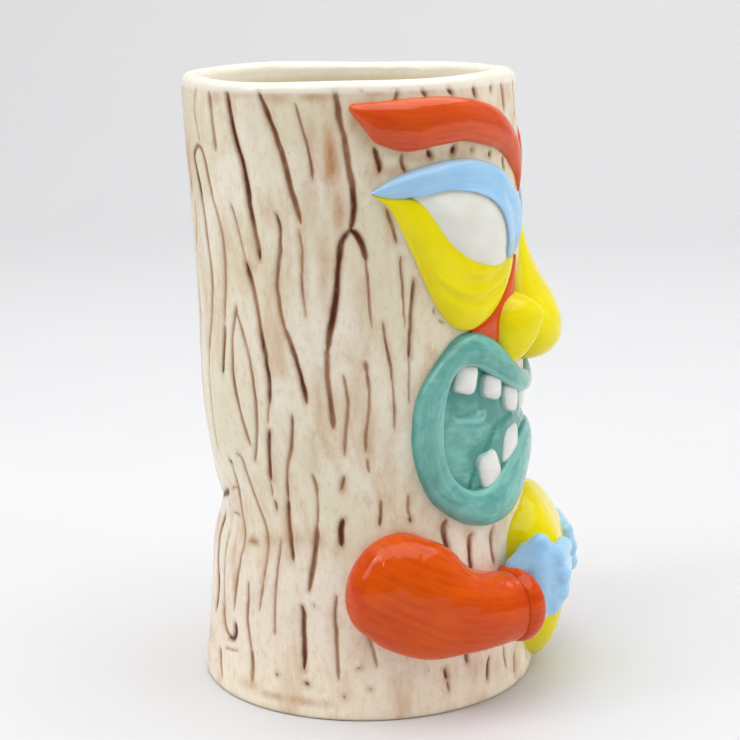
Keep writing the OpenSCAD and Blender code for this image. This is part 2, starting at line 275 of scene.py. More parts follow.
def tube(name, stations, caps, mirrored, steps=10, parts=48, power=2.1, cap_rows=12):
    """A sausage on the log. Stations are (angle, height, lift of its axis, half width, half depth).

    caps are the lengths of its round ends."""
    s = curve(stations, steps)
    centre = on_bark(s[:, 0], s[:, 1] * K, s[:, 2])
    out = on_bark(s[:, 0], s[:, 1] * K, s[:, 2] + 1) - centre
    tangent = np.gradient(centre, axis=0)
    tangent /= np.linalg.norm(tangent, axis=1)[:, None]
    side = np.cross(tangent, out)
    side /= np.linalg.norm(side, axis=1)[:, None]
    out = np.cross(side, tangent)
    scale = np.ones(len(s))
    for end, sign, length in ((0, -1, caps[0]), (-1, 1, caps[1])):
        x = np.sin(np.pi / 2 * np.arange(1, cap_rows + 1) / (cap_rows + 0.2))
        extra = centre[end] + sign * tangent[end] * (x * length)[:, None]
        shrink = np.sqrt(1 - x ** power)
        pack = [(centre, extra), (scale, shrink)] + [(v, np.repeat(v[end][None], cap_rows, 0)) for v in (side, out, s)]
        if sign < 0:
            centre, scale, side, out, s = (np.concatenate([e[::-1], v]) for v, e in pack)
        else:
            centre, scale, side, out, s = (np.concatenate([v, e]) for v, e in pack)
    t = 2 * np.pi * np.arange(parts) / parts
    sideways = (s[:, 3] * scale)[:, None] * rounded(np.cos(t), 2 / power)
    outwards = (s[:, 4] * scale)[:, None] * rounded(np.sin(t), 2 / power)
    rows = centre[:, None] + side[:, None] * sideways[..., None] + out[:, None] * outwards[..., None]
    n, m = rows.shape[:2]
    stroke = stroke_field(along_line(centre)[:, None], sideways, outwards)
    fields = {"stroke": stroke, "edge": np.zeros(n * m)}
    return make_mesh(name, rows.reshape(-1, 3), skin_faces(n, m), fields, mirrored)


def capsule(bm, start, end, r0, r1, rings=10, parts=24):
    """Adds a closed capsule between two points to a bmesh, in millimetres."""
    start, end = Vector(start), Vector(end)
    axis = end - start
    length = axis.length
    turn = axis.to_track_quat("Z", "Y").to_matrix() if length > 1e-6 else Matrix.Identity(3)
    rows = []
    for i in range(2 * rings + 2):
        if i <= rings:
            t = math.pi / 2 * (1 - i / rings)
            r, z = r0 * math.cos(t), -r0 * math.sin(t)
        else:
            t = math.pi / 2 * (i - rings - 1) / rings
            r, z = r1 * math.cos(t), length + r1 * math.sin(t)
        # the ends keep a tiny radius, so that no points meet
        r = max(r, 0.01)
        around = (2 * math.pi * j / parts for j in range(parts))
        rows.append([bm.verts.new(start + turn @ Vector((r * math.cos(q), r * math.sin(q), z))) for q in around])
    for low, high in zip(rows, rows[1:]):
        for j in range(parts):
            k = (j + 1) % parts
            bm.faces.new((low[j], low[k], high[k], high[j]))
    bm.faces.new(rows[0][::-1])
    bm.faces.new(rows[-1])


def points_of(mesh):
    """The points of a mesh, one to a row."""
    points = np.zeros(len(mesh.vertices) * 3)
    mesh.vertices.foreach_get("co", points)
    return points.reshape(-1, 3)


def fused(name, parts, mirrored, voxel=0.45, rounds=12):
    """Capsules melted into one modelled form, as clay is: a voxel remesh and a little smoothing."""
    bm = bmesh.new()
    for part in parts:
        capsule(bm, part[:3], part[3:6], *part[6:])
    mesh = bpy.data.meshes.new(name + "_rough")
    bm.to_mesh(mesh)
    bm.free()
    obj = bpy.data.objects.new(name + "_rough", mesh)
    bpy.context.scene.collection.objects.link(obj)
    remesh = obj.modifiers.new("melt", "REMESH")
    remesh.mode = "VOXEL"
    remesh.voxel_size = voxel
    relax = obj.modifiers.new("relax", "SMOOTH")
    relax.factor = 0.6
    relax.iterations = rounds
    result = obj.evaluated_get(bpy.context.evaluated_depsgraph_get()).to_mesh()
    points = points_of(result)
    faces = [tuple(p.vertices) for p in result.polygons]
    bpy.data.objects.remove(obj)
    fields = {"stroke": points[:, [1, 2, 0]], "edge": np.zeros(len(points))}
    return make_mesh(name, points, faces, fields, mirrored)


# -------- the face
# Outlines on the bark, as (angle, height) pairs on the side that the view shows
BROW_TOP = places("""84.7 154, 83.6 154.7, 79.7 154.9, 73.5 155.2, 62 155.7, 50 155.5, 38 154, 28 151.5, 20 147.5,
    13 142.5, 9.5 137, 7.2 130""")
BROW_FOOT = places("""84.7 153.2, 83.4 151.7, 79.9 148.2, 76.3 145.1, 67 143, 56 144, 46 144.5, 36 143, 27 141, 19 137,
    12 133, 6.8 129""")
BROW_SHAPE = [0.2, 0.62, 0.85, 0.95, 1, 1, 0.95, 0.9, 0.8, 0.7, 0.5, 0.15]
BROW_RISE = 3.4

EYE_OUTLINE = places("""64.5 132.5, 60 126, 56 121.5, 51 118, 46 115.8, 40 114.2, 34 113.5, 29 114.3, 25.5 117,
    25.5 122, 28 127, 34 131.5, 42 134, 50 135, 58 134.2""")
EYE_MIDDLE = (43, 124)
EYE_SPREAD = 1.14
EYE_RISE = 4.7

LID_TOP = places("""79 133.8, 76 135.2, 70 137.5, 61 139.5, 52 140.5, 43 140.3, 34 138.5, 27 136, 20 131.8, 13 127.5,
    10.5 122.5, 14.5 117.2, 21 114""")
LID_FOOT = places("""79 133.2, 75 132.4, 70.5 131.9, 65 132.3, 57.2 133.4, 51.7 133.4, 45.8 132.5, 39.5 130.5,
    35.3 127.7, 32.4 124, 31.3 119.9, 31.2 116.9, 29 114.6""")
LID_SHAPE = [0.15, 0.5, 0.8, 0.97, 1, 1, 1, 0.95, 0.85, 0.75, 0.65, 0.55, 0.3]
LID_RISE = 3.5
LID_STEP = 0.7

CHEEK_EDGE = places("""79 133, 74 130, 70 124.5, 66.5 118.5, 63 112, 60 107, 56.5 102.7, 52 99.3, 46.5 98, 40.5 99,
    34 101.5, 28 105, 23 109, 19.5 113""")
SOCKET_EDGE = places("""77.5 133, 68 132.3, 61 131.2, 56.5 127.5, 53.5 124.8, 51 122.3, 48 120.5, 45.5 119, 42.5 118,
    39.5 117.2, 36.5 116.8, 34 117, 30.5 116.6, 23 115""")
CHEEK_SHAPE = [0.2, 0.75, 0.95, 1, 1, 1, 1, 1, 0.95, 0.9, 0.8, 0.7, 0.6, 0.4]
CHEEK_RISE = 2.9
# Folds of the cheek: (half width, depth, line)
FOLDS = strokes(
    "1 0.5: 62 112.5, 57.1 109.3, 51.5 106.6, 45.3 105.2, 38.3 105.7, 31.1 107.4, 27 109.5",
    "0.9 0.4: 50 112, 45 110.6, 40 110, 35 110.6, 30 112")

STRIP_OUTSIDE = places("15.5 114, 21 110.3, 27 106, 34 102.3, 40 99.8, 45.5 98")
STRIP_INSIDE = places("15 113, 18 107, 21 101, 24 96, 29 93, 41 94.5")
STRIP_RISES = [0.6, 1, 1.3, 1.3, 1.3, 0.8]

NOSE_SIDE = places("1.5 121.8, 5 117, 9.5 112, 14.5 107, 18.5 101, 20 95, 18 90, 12 86.3, 3 84.6")
NOSE_RISES = [0.4, 1.3, 2.8, 5.1, 8.5, 10.4, 9.8, 6.6, 1.4]
WING = places("""29.5 102.5, 32.4 98.5, 32.8 94, 31 90, 28 87.2, 24 86.8, 21.5 89, 19.5 93, 11.5 98.5, 12 102,
    18 104.6, 24.5 104.4""")

LIP_EDGE = places("""0 81.7, 10 83.4, 20 86.3, 30 92, 38 96, 45 97.5, 52 96.3, 58.5 92, 64 87, 67.5 81.5, 69 75,
    69 68.5, 67 61.5, 63 55.5, 57 51.5, 50 48.5, 42 47, 34 47, 26 48.3, 17 51.5, 8 54.8, 0 56""")
MOUTH_EDGE = places("""0 76.4, 12.7 77.6, 21.5 79.8, 29.6 82.6, 35.9 85.2, 41.9 87.8, 47.2 89.2, 51.8 88.5, 54.3 86.4,
    56 83, 57.3 79, 58 74, 58 69.5, 57.1 65.5, 54.8 61.6, 51.1 58.7, 45.6 57, 39.4 57.3, 32.6 59.3, 25.4 62.4,
    14.5 66.8, 0 68.2""")
LIP_RISE = 3.5

PANEL_TOP = places("62 73, 60.5 80, 56 88, 48 93, 40 92, 30 87.5, 20 83, 8 80.5, 0 80")
PANEL_FOOT = places("62 71, 60.5 63, 56 56.5, 48 52.5, 40 51.5, 30 53, 20 56.5, 8 60, 0 60.5")
# How deep the mouth is cut, and how high its panel lies over the bark: below it, in the cut
MOUTH_DEPTH, PANEL_FLOAT = 1.5, -0.7

# Each tooth is four corners: top outer, top inner, bottom inner, bottom outer
UPPER_SET = [places(tooth) for tooth in (
    "51.5 90, 41.2 89.5, 44 80.8, 54.3 83.2",
    "39.4 86.8, 29.2 84.6, 30.6 77.7, 41 80.4",
    "28 82.6, 15.6 80, 17 72.4, 27.4 74.9",
    "13.4 79.4, 1.2 79, 1.2 71.8, 13.2 72.2")]
LOWER_SET = [places(tooth) for tooth in (
    "44.4 64.6, 34.2 67.2, 29.2 58.6, 41.4 54.2",
    "28.4 69.9, 16.2 71.2, 15.2 63, 30.2 59.8")]
# The lower gum stands a little proud of the mouth below this line
GUM_LINE = places("""0 69.5, 9 70.3, 15 72.4, 21 73.4, 27 72.8, 31.3 71.9, 34.1 70.3, 36.1 68.2, 39 66.3, 41.8 64.6,
    44.1 61.8, 46.2 58.8, 48.5 54""")
# A run of glaze that stopped under the first upper tooth
GLAZE_RUN = places("53.1 76.6, 50.6 75.4, 46.2 74.8, 41.4 74.4, 38.7 75, 39 76.3, 42.2 76.4")


def tooth_outline(corners, sign, n=44):
    """A rounded four-cornered outline."""
    t = (-2 * np.pi * np.arange(n) / n)[:, None]
    u, v = rounded(np.cos(t), 0.5), rounded(np.sin(t), 0.5)
    p = np.array(corners)
    out = ((1 + v) * ((1 + u) * p[0] + (1 - u) * p[1]) + (1 - v) * ((1 - u) * p[2] + (1 + u) * p[3])) / 4
    return out * [sign, 1]


def eye_height(a, z):
    """Height of the eyeball's surface over the bark, and 0 beside it."""
    q = curve(EYE_OUTLINE, 8, True) - EYE_MIDDLE
    turn = np.arctan2(q[:, 1], q[:, 0])
    order = np.argsort(turn)
    reach = np.hypot(*q.T)[order] * EYE_SPREAD
    da, dz = np.abs(a) - EYE_MIDDLE[0], z - EYE_MIDDLE[1]
    limit = np.interp(np.arctan2(dz, da), turn[order], reach, period=2 * np.pi)
    return EYE_RISE * np.sqrt(np.maximum(1 - (np.hypot(da, dz) / limit) ** 2, 0))


def mouth_inset(a, z):
    """Distance inside the opening of the mouth, in millimetres."""
    edge = np.array(MOUTH_EDGE)
    corner = int(np.argmax(edge[:, 0]))
    a = turned_half(a)
    high = np.interp(a, edge[:corner + 1, 0], edge[:corner + 1, 1])
    low = np.interp(a, edge[:corner - 1:-1, 0], edge[:corner - 1:-1, 1])
    return np.minimum(np.minimum(high - z, z - low), (edge[corner, 0] - a) * DEGREE)


# -------- the carved bark
# The half width of each stroke, the darkness of the stain in it and its places
VISIBLE_STROKES = strokes(
    # the long dark split with its wishbone fork
    "0.85 1: 88.8 158.6, 88.3 154, 87.6 150, 86.5 145, 85.8 140, 85.1 135, 84.8 131, 85.3 128, 86.3 125",
    "0.75 0.95: 86.3 124.6, 84.4 123.6, 82.8 121, 81.8 117.5",
    "0.4 0.5: 81.8 118, 81.5 112, 81.2 106, 80.9 101",
    "0.85 1: 86.3 124.8, 88.8 122.8, 90.2 119.5, 91 115, 92.2 109, 93.4 104, 94.9 99.5, 95.9 95",
    "0.8 0.7: 95.9 95.5, 96.3 90, 96 86, 95.4 81, 95.2 76",
    # long strokes from the rim
    "0.4 0.6: 101.8 154.8, 100.2 149.5, 98.8 145, 98 141, 97.6 137",
    "0.7 0.85: 115 158.6, 112.2 152.8, 109.7 148, 107.9 143.5, 106.3 139, 105 134, 103.6 130, 102.6 126.5",
    "0.35 0.5: 103.4 124.5, 102.7 119, 103.3 113, 103.1 108, 102.6 103",
    "0.7 0.9: 127.8 157.2, 126.6 151.5, 125.2 146, 123.2 141, 122.3 136, 121.5 130, 120.1 124.5, 119.1 120, "
    "118.5 117",
    "0.6 0.55: 137.3 156.5, 136.4 151, 136 147, 135.5 143",
    "0.4 0.35: 145 159, 147.4 155, 148 151, 147 147, 145.4 144",
    # the tall hairpin near the back
    "0.65 0.8: 139.8 130.5, 141.4 135, 143 139.5, 145 142.4, 147.5 143.2, 150 142.2, 151.8 140.3, 150.9 137.5, "
    "149 134, 147.8 130",
    "0.55 0.45: 139.8 130.5, 137.3 126, 135.6 120.5, 135.8 113, 137 106, 138.2 99.5",
    "0.55 0.6: 147.8 130, 147 125, 146 119.5, 144.9 113, 144.8 108.5, 145.6 104, 147.2 99.5, 149.2 95, 151 90.5",
    "0.4 0.3: 151 90.5, 152.4 85, 153 77.5, 152.5 70, 152.3 64",
    "0.6 0.8: 138.2 98.6, 138.8 94.5, 140.2 90, 141 86.5",
    # the middle of the visible side
    "0.55 0.7: 111.2 128.3, 110.1 125, 110.4 120.5, 111.5 115.5, 112.3 110.5, 111.6 105, 110.2 100",
    "0.65 0.85: 110.2 100, 108.1 95.5, 106.4 91.5, 105 87, 103.8 82",
    "0.35 0.45: 129.8 130, 128 126, 126.2 121, 124.5 116",
    "0.65 0.8: 124.5 115.5, 122.6 111, 121.1 106, 120 100.5, 118.8 95, 118 90, 117.5 86, 118 81",
    "0.35 0.5: 118 81, 118.9 77.5, 119.3 75.5",
    "0.6 0.75: 119 73.8, 119.9 70, 120.6 65.5, 121.1 60.8",
    "0.35 0.5: 121.1 60, 121 56.5",
    "0.55 0.6: 120 55.4, 119.7 53",
    # the leaf-shaped knot
    "0.5 0.6: 131 104.4, 130.6 101.8, 128.6 98, 126.8 94, 125.4 89, 124.4 84, 124 79.5, 124.3 75.5, 125.6 70, "
    "127.5 65",
    "0.5 0.6: 131 104.4, 132.4 101, 134 97, 134.7 92, 135 86.5, 134 82, 132 76, 130 71, 129 69",
    "0.45 0.6: 129.8 101.4, 131.2 101.9, 132.4 101",
    # the lower trunk
    "0.5 0.65: 109.5 78.6, 110 74, 111 70, 113 65.5, 114.1 61, 114.6 56",
    "0.6 0.7: 114.6 56, 114.7 50, 114 45, 113 40.5",
    "0.45 0.6: 104.2 63.5, 103 60, 103.2 55, 103.8 50",
    "0.75 0.85: 103.8 50, 104.3 46, 105 41, 105.8 37, 106.4 33.5",
    "0.45 0.55: 137.4 65.4, 135 64.6, 133 60, 130.5 55.5, 127.5 51, 125 47, 123.8 43, 124.4 38, 125.3 33",
    "0.35 0.6: 125.3 33.5, 125.9 29.5, 126.4 26",
    "0.45 0.5: 142 62.6, 141 60, 139.6 56, 139 50, 137 46, 136 42.5, 137.4 38, 139 33, 140 28, 141 22.6",
    "0.35 0.45: 138 55.6, 141 55.9, 144.4 55",
    "0.6 0.75: 142.4 62.9, 141.6 62.2",
    "0.35 0.5: 118.2 45.5, 118.8 41, 119.5 36, 119.8 30, 119.6 22.5, 119.5 20",
    "0.6 0.6: 119.4 22.2, 119.5 20.6",
    "0.5 0.55: 132.3 32.2, 132 28, 132.4 22, 131.4 18.5, 130 14.5",
    "0.65 0.75: 130 14.5, 129.1 10.5, 129 6.5",
    "0.8 0.95: 139.6 19.5, 139.6 17, 141.2 15.2, 144 15",
    "0.55 0.7: 144 15, 147 16.6, 148.5 20, 148.4 23",
    "0.4 0.35: 148.4 23, 149.4 28, 149.5 34, 149 40, 148 43.5",
    "0.7 0.85: 109 29.2, 108.2 26, 108 21.5, 107.8 17, 107.5 12.5",
    "0.6 0.8: 106.9 9, 106 8.6",
    "0.5 0.65: 96.5 32.6, 97 29, 96.3 22, 95.8 15.5, 95.3 11",
    "0.6 0.6: 118.2 10.1, 117.9 9.7",
    "0.5 0.6: 150.5 10, 149.6 6, 147.8 3",
    "0.35 0.4: 137 12.8, 141 12, 146.4 11.4",
    "0.3 0.4: 128.5 43.1, 134 43",
    "0.4 0.4: 140 48.1, 143 48.4, 146.3 48",
    "0.55 0.8: 93.6 6.6, 93.2 6.1",
    "0.35 0.6: 104.5 29.9, 104.4 29.6",
    "0.35 0.6: 88 14.2, 89.2 13.7",
    "0.35 0.6: 84.8 8.6, 84.6 8.3",
    # the dark crease of the pinch
    "0.9 0.9: 148.5 53.8, 153 52.2, 158 51, 165 49.6, 175 48.8",
    # beside the cheek and the mouth
    "0.5 0.6: 74.6 129.6, 73 126, 71.6 121.5",
    "0.35 0.55: 70.6 118, 70.3 112, 70.2 107, 70 101",
    "0.45 0.85: 66.4 112, 67.1 108, 67.9 103, 68.6 98, 69 93",
    "0.3 0.5: 69 93, 69.2 88, 69.5 82",
    "0.45 0.7: 77 102, 76.6 98, 75.4 92.5, 74.8 87",
    "0.35 0.5: 74.8 87, 74.5 81, 74.8 75",
    "0.6 0.7: 83.5 92.4, 83 90",
    "0.45 0.65: 83 90, 82.5 84.5, 83.2 79, 84.5 74.5, 84.8 70",
    "0.4 0.55: 84.6 68, 84.2 64.5",
    "0.45 0.6: 90.8 89.2, 90 85, 89.8 81, 90.8 76, 91.6 72, 92.1 69",
    "0.4 0.7: 92.8 63.5, 94.3 60",
    "0.45 0.6: 71.3 58.2, 71.8 54.5, 71.2 52.6",
    "0.65 0.75: 71.1 52.2, 71 51.2",
    "0.5 0.75: 80.9 57, 81.3 53.5, 81.8 50.8",
    "0.9 1: 94.3 52.3, 95.2 49.3, 95.2 45.6",
    "0.7 0.9: 57.5 50.4, 59 48.7, 58.6 45.5, 57.7 43",
    "0.6 0.8: 47.3 45.6, 48.8 44.6, 48.8 40, 48.2 36",
    "0.5 0.7: 36.3 45.7, 37.8 43.7, 37.9 41, 37 36",
    "0.4 0.5: 55.5 100.8, 57.7 101.4",
    "0.35 0.5: 59.4 104.6, 59.6 103.2",
    # under the arm
    "0.65 0.75: 50.4 15.4, 49.8 12",
    "0.5 0.8: 39.6 11.7, 40.3 9, 40.8 6",
    "0.4 0.6: 31.4 12.8, 31 10, 30.5 6.5",
    "0.5 0.8: 58.8 11.6, 58.2 9",
    "0.45 0.8: 58 8.4, 57.6 6",
    "0.4 0.5: 23.8 9.5, 24 6.5, 24.4 3.5",
    "0.45 0.35: 86 23, 84 19, 82.5 14.5",
    # between brow, lid and rim
    "0.6 0.9: 77.4 144.2, 76.3 141.2, 76.1 138.4",
    "0.5 0.8: 68.4 142.6, 68.8 140.8, 68 138.4",
    "0.75 0.95: 59.6 143, 58.8 141.4",
    "0.65 0.9: 49.6 143.5, 50.4 141.9",
    "0.4 0.8: 41.6 142.5, 42.3 142",
    "0.6 0.8: 32.6 140.9, 33.2 140.2",
    "0.5 0.6: 24.2 139.4, 23.8 136.4",
    "0.55 0.75: 69 158.2, 69.5 156, 71 153.6",
    "0.55 0.75: 60.8 157.8, 59.2 155.8",
    "0.6 0.75: 51.4 158.3, 49.4 156",
    "0.55 0.7: 39.8 157.6, 38.8 154.8",
    "0.45 0.8: 29.5 157.8, 30.4 155.8",
    "0.55 0.6: 23 158.2, 22 155, 21.4 150.6",
    "0.55 0.8: 80.8 157.8, 80 157.6")
# The narrow strip between the brows, down to the nose
FRONT_STROKES = strokes(
    "0.5 0.7: 9 158, 10.5 153, 10 148",
    "0.45 0.6: -4 157.5, -2.5 150, -3.5 143, -2 136",
    "0.5 0.65: 3 148, 4 142, 3.2 137, 4 130",
    "0.5 0.7: -13 158, -14 152.5",
    "0.4 0.6: 0 131, 0.6 126, 0 123",
    "0.5 0.7: 10 12, 10.6 7, 10 4",
    "0.45 0.6: -16 13, -15.4 8, -16 4.5")
# The back, where the two sides meet
BACK_STROKES = strokes(
    "0.7 0.8: 163 158, 164.5 150, 163 142, 160.5 136, 160 131",
    "0.5 0.55: 155.8 128, 157 121.5, 161 116.2, 168 113.4, 175 114.4, 180 118, 182 124, 181 131, 177.5 136",
    "0.7 0.85: 174 157, 172.5 150, 173.5 143, 176 138",
    "0.5 0.6: 168 131, 170 126, 169 120",
    "0.75 0.9: 186 158, 187.5 151, 186.5 143, 188 135, 190.5 128, 190 121, 187.5 115",
    "0.45 0.5: 196 152, 197 144, 196 137",
    "0.55 0.7: 163 108, 162 101, 164 94, 167 88, 166 81, 163.5 75, 163.8 68",
    "0.45 0.6: 171 107, 173.5 100, 173 93, 170.5 88, 171 82",
    "0.7 0.85: 181 110, 179 103, 180.5 96, 184 89, 185 82, 183 75, 180 69",
    "0.4 0.5: 190 108, 192 101, 191 95",
    "0.55 0.7: 194 93, 195.5 86, 193 79, 191 73, 192 66",
    "0.5 0.6: 173 76, 174.5 70, 173 64",
    "0.7 0.85: 156 46, 158 40, 157 33, 155 27, 156 20",
    "0.55 0.65: 166 44, 164.5 38, 166 30, 168.5 24, 168 16, 166 9",
    "0.65 0.8: 176 46, 177.5 39, 176.5 31, 174.5 25",
    "0.45 0.6: 185 44, 184 37, 186.5 29, 188 22, 187 14, 188 7",
    "0.6 0.75: 195 45, 197 38, 196 30",
    "0.5 0.65: 177 17, 176 10, 177.5 5",
    "0.8 0.85: 184 48.4, 194 49.2, 203 51, 209 52.8")


# Clouds of wiped stain: angle, height, half width in degrees, half height and strength
CLOUDS = places(
    "91.6 141 2.4 9 1, 90 130 2.6 6 0.7, 99 134 3 9 0.35, 97 146 2.2 6 0.4, 95.5 114 2.6 11 0.45, "
    "102.5 117 1.8 12 0.55, 77 138 3 3.5 0.45, 73.5 127 1.8 5 0.4, 84 107 2.6 7 0.35, 80 147 3 4 0.4, "
    "86 85 3 7 0.35, 84 74 2.2 7 0.4, 77 64 3 7 0.3, 70 60 3.5 5 0.35, 65 54 3 3.5 0.4, 79 57.5 3.2 2.6 0.5, "
    "100 82 2.2 9 0.35, 103 69 2.2 7 0.3, 96 45 3 3 0.4, 104 47 4 3 0.55, 113 46 5 2.6 0.5, 122 45 4 2 0.45, "
    "131 43.3 3 1.4 0.7, 143 38 2.6 2.6 0.45, 140 30 2 5 0.3, 38 9 5 3 0.3, 47 9.5 4 3 0.4, 58 9.5 4 3 0.25, "
    "24 8 5 4 0.3, 86 18 3 6 0.3, 93 8 3 4 0.2, 107 4.2 10 1.1 0.6, 119 4.2 8 1.1 0.6, 129 5.4 5 1.4 0.5, "
    "96 156.6 6 1.4 0.6, 108 156.2 5 1.6 0.5, 121 156.6 5 1.1 0.4, 134 155.6 4 2 0.45, 76 157.3 4 1 0.5, "
    "60 157.4 5 0.9 0.4, 20 155 6 3 0.4, 13 149 3.4 8 0.4, 113 130 2.2 4 0.3, 121 124 2 6 0.3, 152 98 3 12 0.3, "
    "148 20 4 6 0.3, 60 49.4 3 2.4 0.45, 49 45.6 3 2 0.4, 38 43.5 3 2 0.35, 93.6 61 1.8 2 0.5, 112 95 3 6 0.3, "
    "118 66 2.6 8 0.3, 127 88 4 9 0.2, 136 120 3 12 0.2, 73 138.6 5 1.5 0.55, 62 141.4 6 1.2 0.5, 50 142 5 1 0.4, "
    "83 150.6 2 3 0.45, 66 142.6 9 1 0.3, 0 140 6 8 0.35, 160 140 5 9 0.4, 172 120 6 9 0.35, 168 85 6 10 0.4, "
    "177 62 5 6 0.4, 185 150 6 5 0.45, 190 105 5 9 0.35, 180 30 7 9 0.4, 165 12 8 3 0.5, 192 8 8 3 0.5")


def far_side(shown):
    """The strokes of the side that the view hides: the same hand, shifted so that they don't mirror exactly."""
    moved = []
    for k, (width, tone, line) in enumerate(shown):
        near = min(a for a, z in line) < 80 or any(45 < z < 58 for a, z in line)
        free = 0 if near else 1
        drift, rise = free * 2.2 * math.sin(1.7 * k), free * 2.5 * math.cos(2.3 * k)
        line = [(-(a + drift + free * 1.5 * math.sin(z / 9 + k)), min(max(z + rise, 3), 158.4)) for a, z in line]
        moved.append((width * (1 + 0.15 * math.sin(k)), tone * (0.95 + 0.1 * math.cos(3 * k)), line))
    return moved


STROKES = VISIBLE_STROKES + FRONT_STROKES + BACK_STROKES + far_side(VISIBLE_STROKES)
GROOVE_DEPTH = 0.7
BEVEL_HIGH, BEVEL_IN = 1.8, 0.7
# Each is its height, its number round the log, the height of one and a seed
BARK_SWELLS = ((0.35, 22, 34, 7), (0.16, 60, 15, 8), (0.045, 180, 5, 9))
# How far the cup's floor curves up its wall: height over the floor and distance in from the wall
FLOOR_CURVE = ((10, 0.5), (6.5, 0.9), (4, 1.8), (2.2, 3.2), (1, 5.2), (0.3, 8), (0, 12), (0, 22), (0, 34))
# Points round the log, rows up its outside, and how far a stroke's stain reaches
AROUND, OUTER_ROWS, REACH = 900, 350, 4.0
ARC = math.radians(1) * TRUNK_R


def cloud_field(A, Z):
    """The wiped clouds on a grid, on both sides of the log."""
    total = np.zeros(A.shape)
    for k, (a, z, half_a, half_z, strength) in enumerate(CLOUDS):
        twin = [(a, z)] if a > 156 or a == 0 else [(a, z), (-(a + 3 * math.sin(2.1 * k)), z + 2 * math.cos(1.7 * k))]
        for place_a, place_z in twin:
            da = (A - place_a + 180) % 360 - 180
            spot = strength * np.exp(-np.abs(da / half_a) ** 2.4 - np.abs((Z / K - place_z) / half_z) ** 2.4)
            total = np.maximum(total, spot)
    return total


def carve(angles, heights):
    """Groove depth, stain and wash on a grid of the bark, from the strokes."""
    n, m = len(heights), len(angles)
    # how far off a stroke counts as none, in half widths, and the step along one, in millimetres
    far, grain = 9.0, 0.22
    nearest = np.full((n, m), far)
    tone, wash = np.zeros((n, m)), np.zeros((n, m))
    step_a = 360 / m * ARC
    window = int(REACH / step_a)
    for k, (width, dark, marks) in enumerate(STROKES):
        line = curve(marks, 24)
        x = line[:, 0] * ARC
        length = np.concatenate([[0], np.cumsum(np.hypot(np.diff(x), np.diff(line[:, 1])))])
        total = length[-1]
        at = np.linspace(0, total, max(3, int(total / grain)))
        px, pz = np.interp(at, length, x), np.interp(at, length, line[:, 1])
        px = px + 0.12 * value_noise(at / 2.3, np.full(len(at), 3.7 * k), 1)
        taper = np.minimum(1, np.minimum(at, total - at) / (1.2 + 0.08 * total) + 0.45)
        local = width * taper * (1 + 0.22 * value_noise(at / 3.1, np.full(len(at), 1.3 * k), 2))
        shade = dark * (0.84 + 0.26 * value_noise(at / 7.0, np.full(len(at), 2.1 * k), 5))
        for x0, z0, w0, t0 in zip(px, pz, local, shade):
            column = int(round(x0 / step_a))
            cols = np.arange(column - window, column + window + 1)
            low, high = np.searchsorted(heights, [(z0 - REACH) * K, (z0 + REACH) * K])
            if high <= low:
                continue
            d = np.hypot(cols * step_a - x0, (heights[low:high] / K - z0)[:, None])
            block = np.ix_(np.arange(low, high), cols % m)
            q = d / w0
            closer = q < nearest[block]
            nearest[block] = np.where(closer, q, nearest[block])
            tone[block] = np.where(closer, t0, tone[block])
            wash[block] = np.maximum(wash[block], t0 * np.exp(-(d / 1.5) ** 2))
    profile = np.maximum(1 - nearest ** 2 / 1.9, 0) * (0.55 + 0.45 * tone)
    for turn in range(2):
        profile = (np.roll(profile, 1, 1) + 2 * profile + np.roll(profile, -1, 1)) / 4
        profile[1:-1] = (profile[:-2] + 2 * profile[1:-1] + profile[2:]) / 4
    mask = smooth((1.3 - nearest) / 0.8)
    return profile, mask, tone, wash


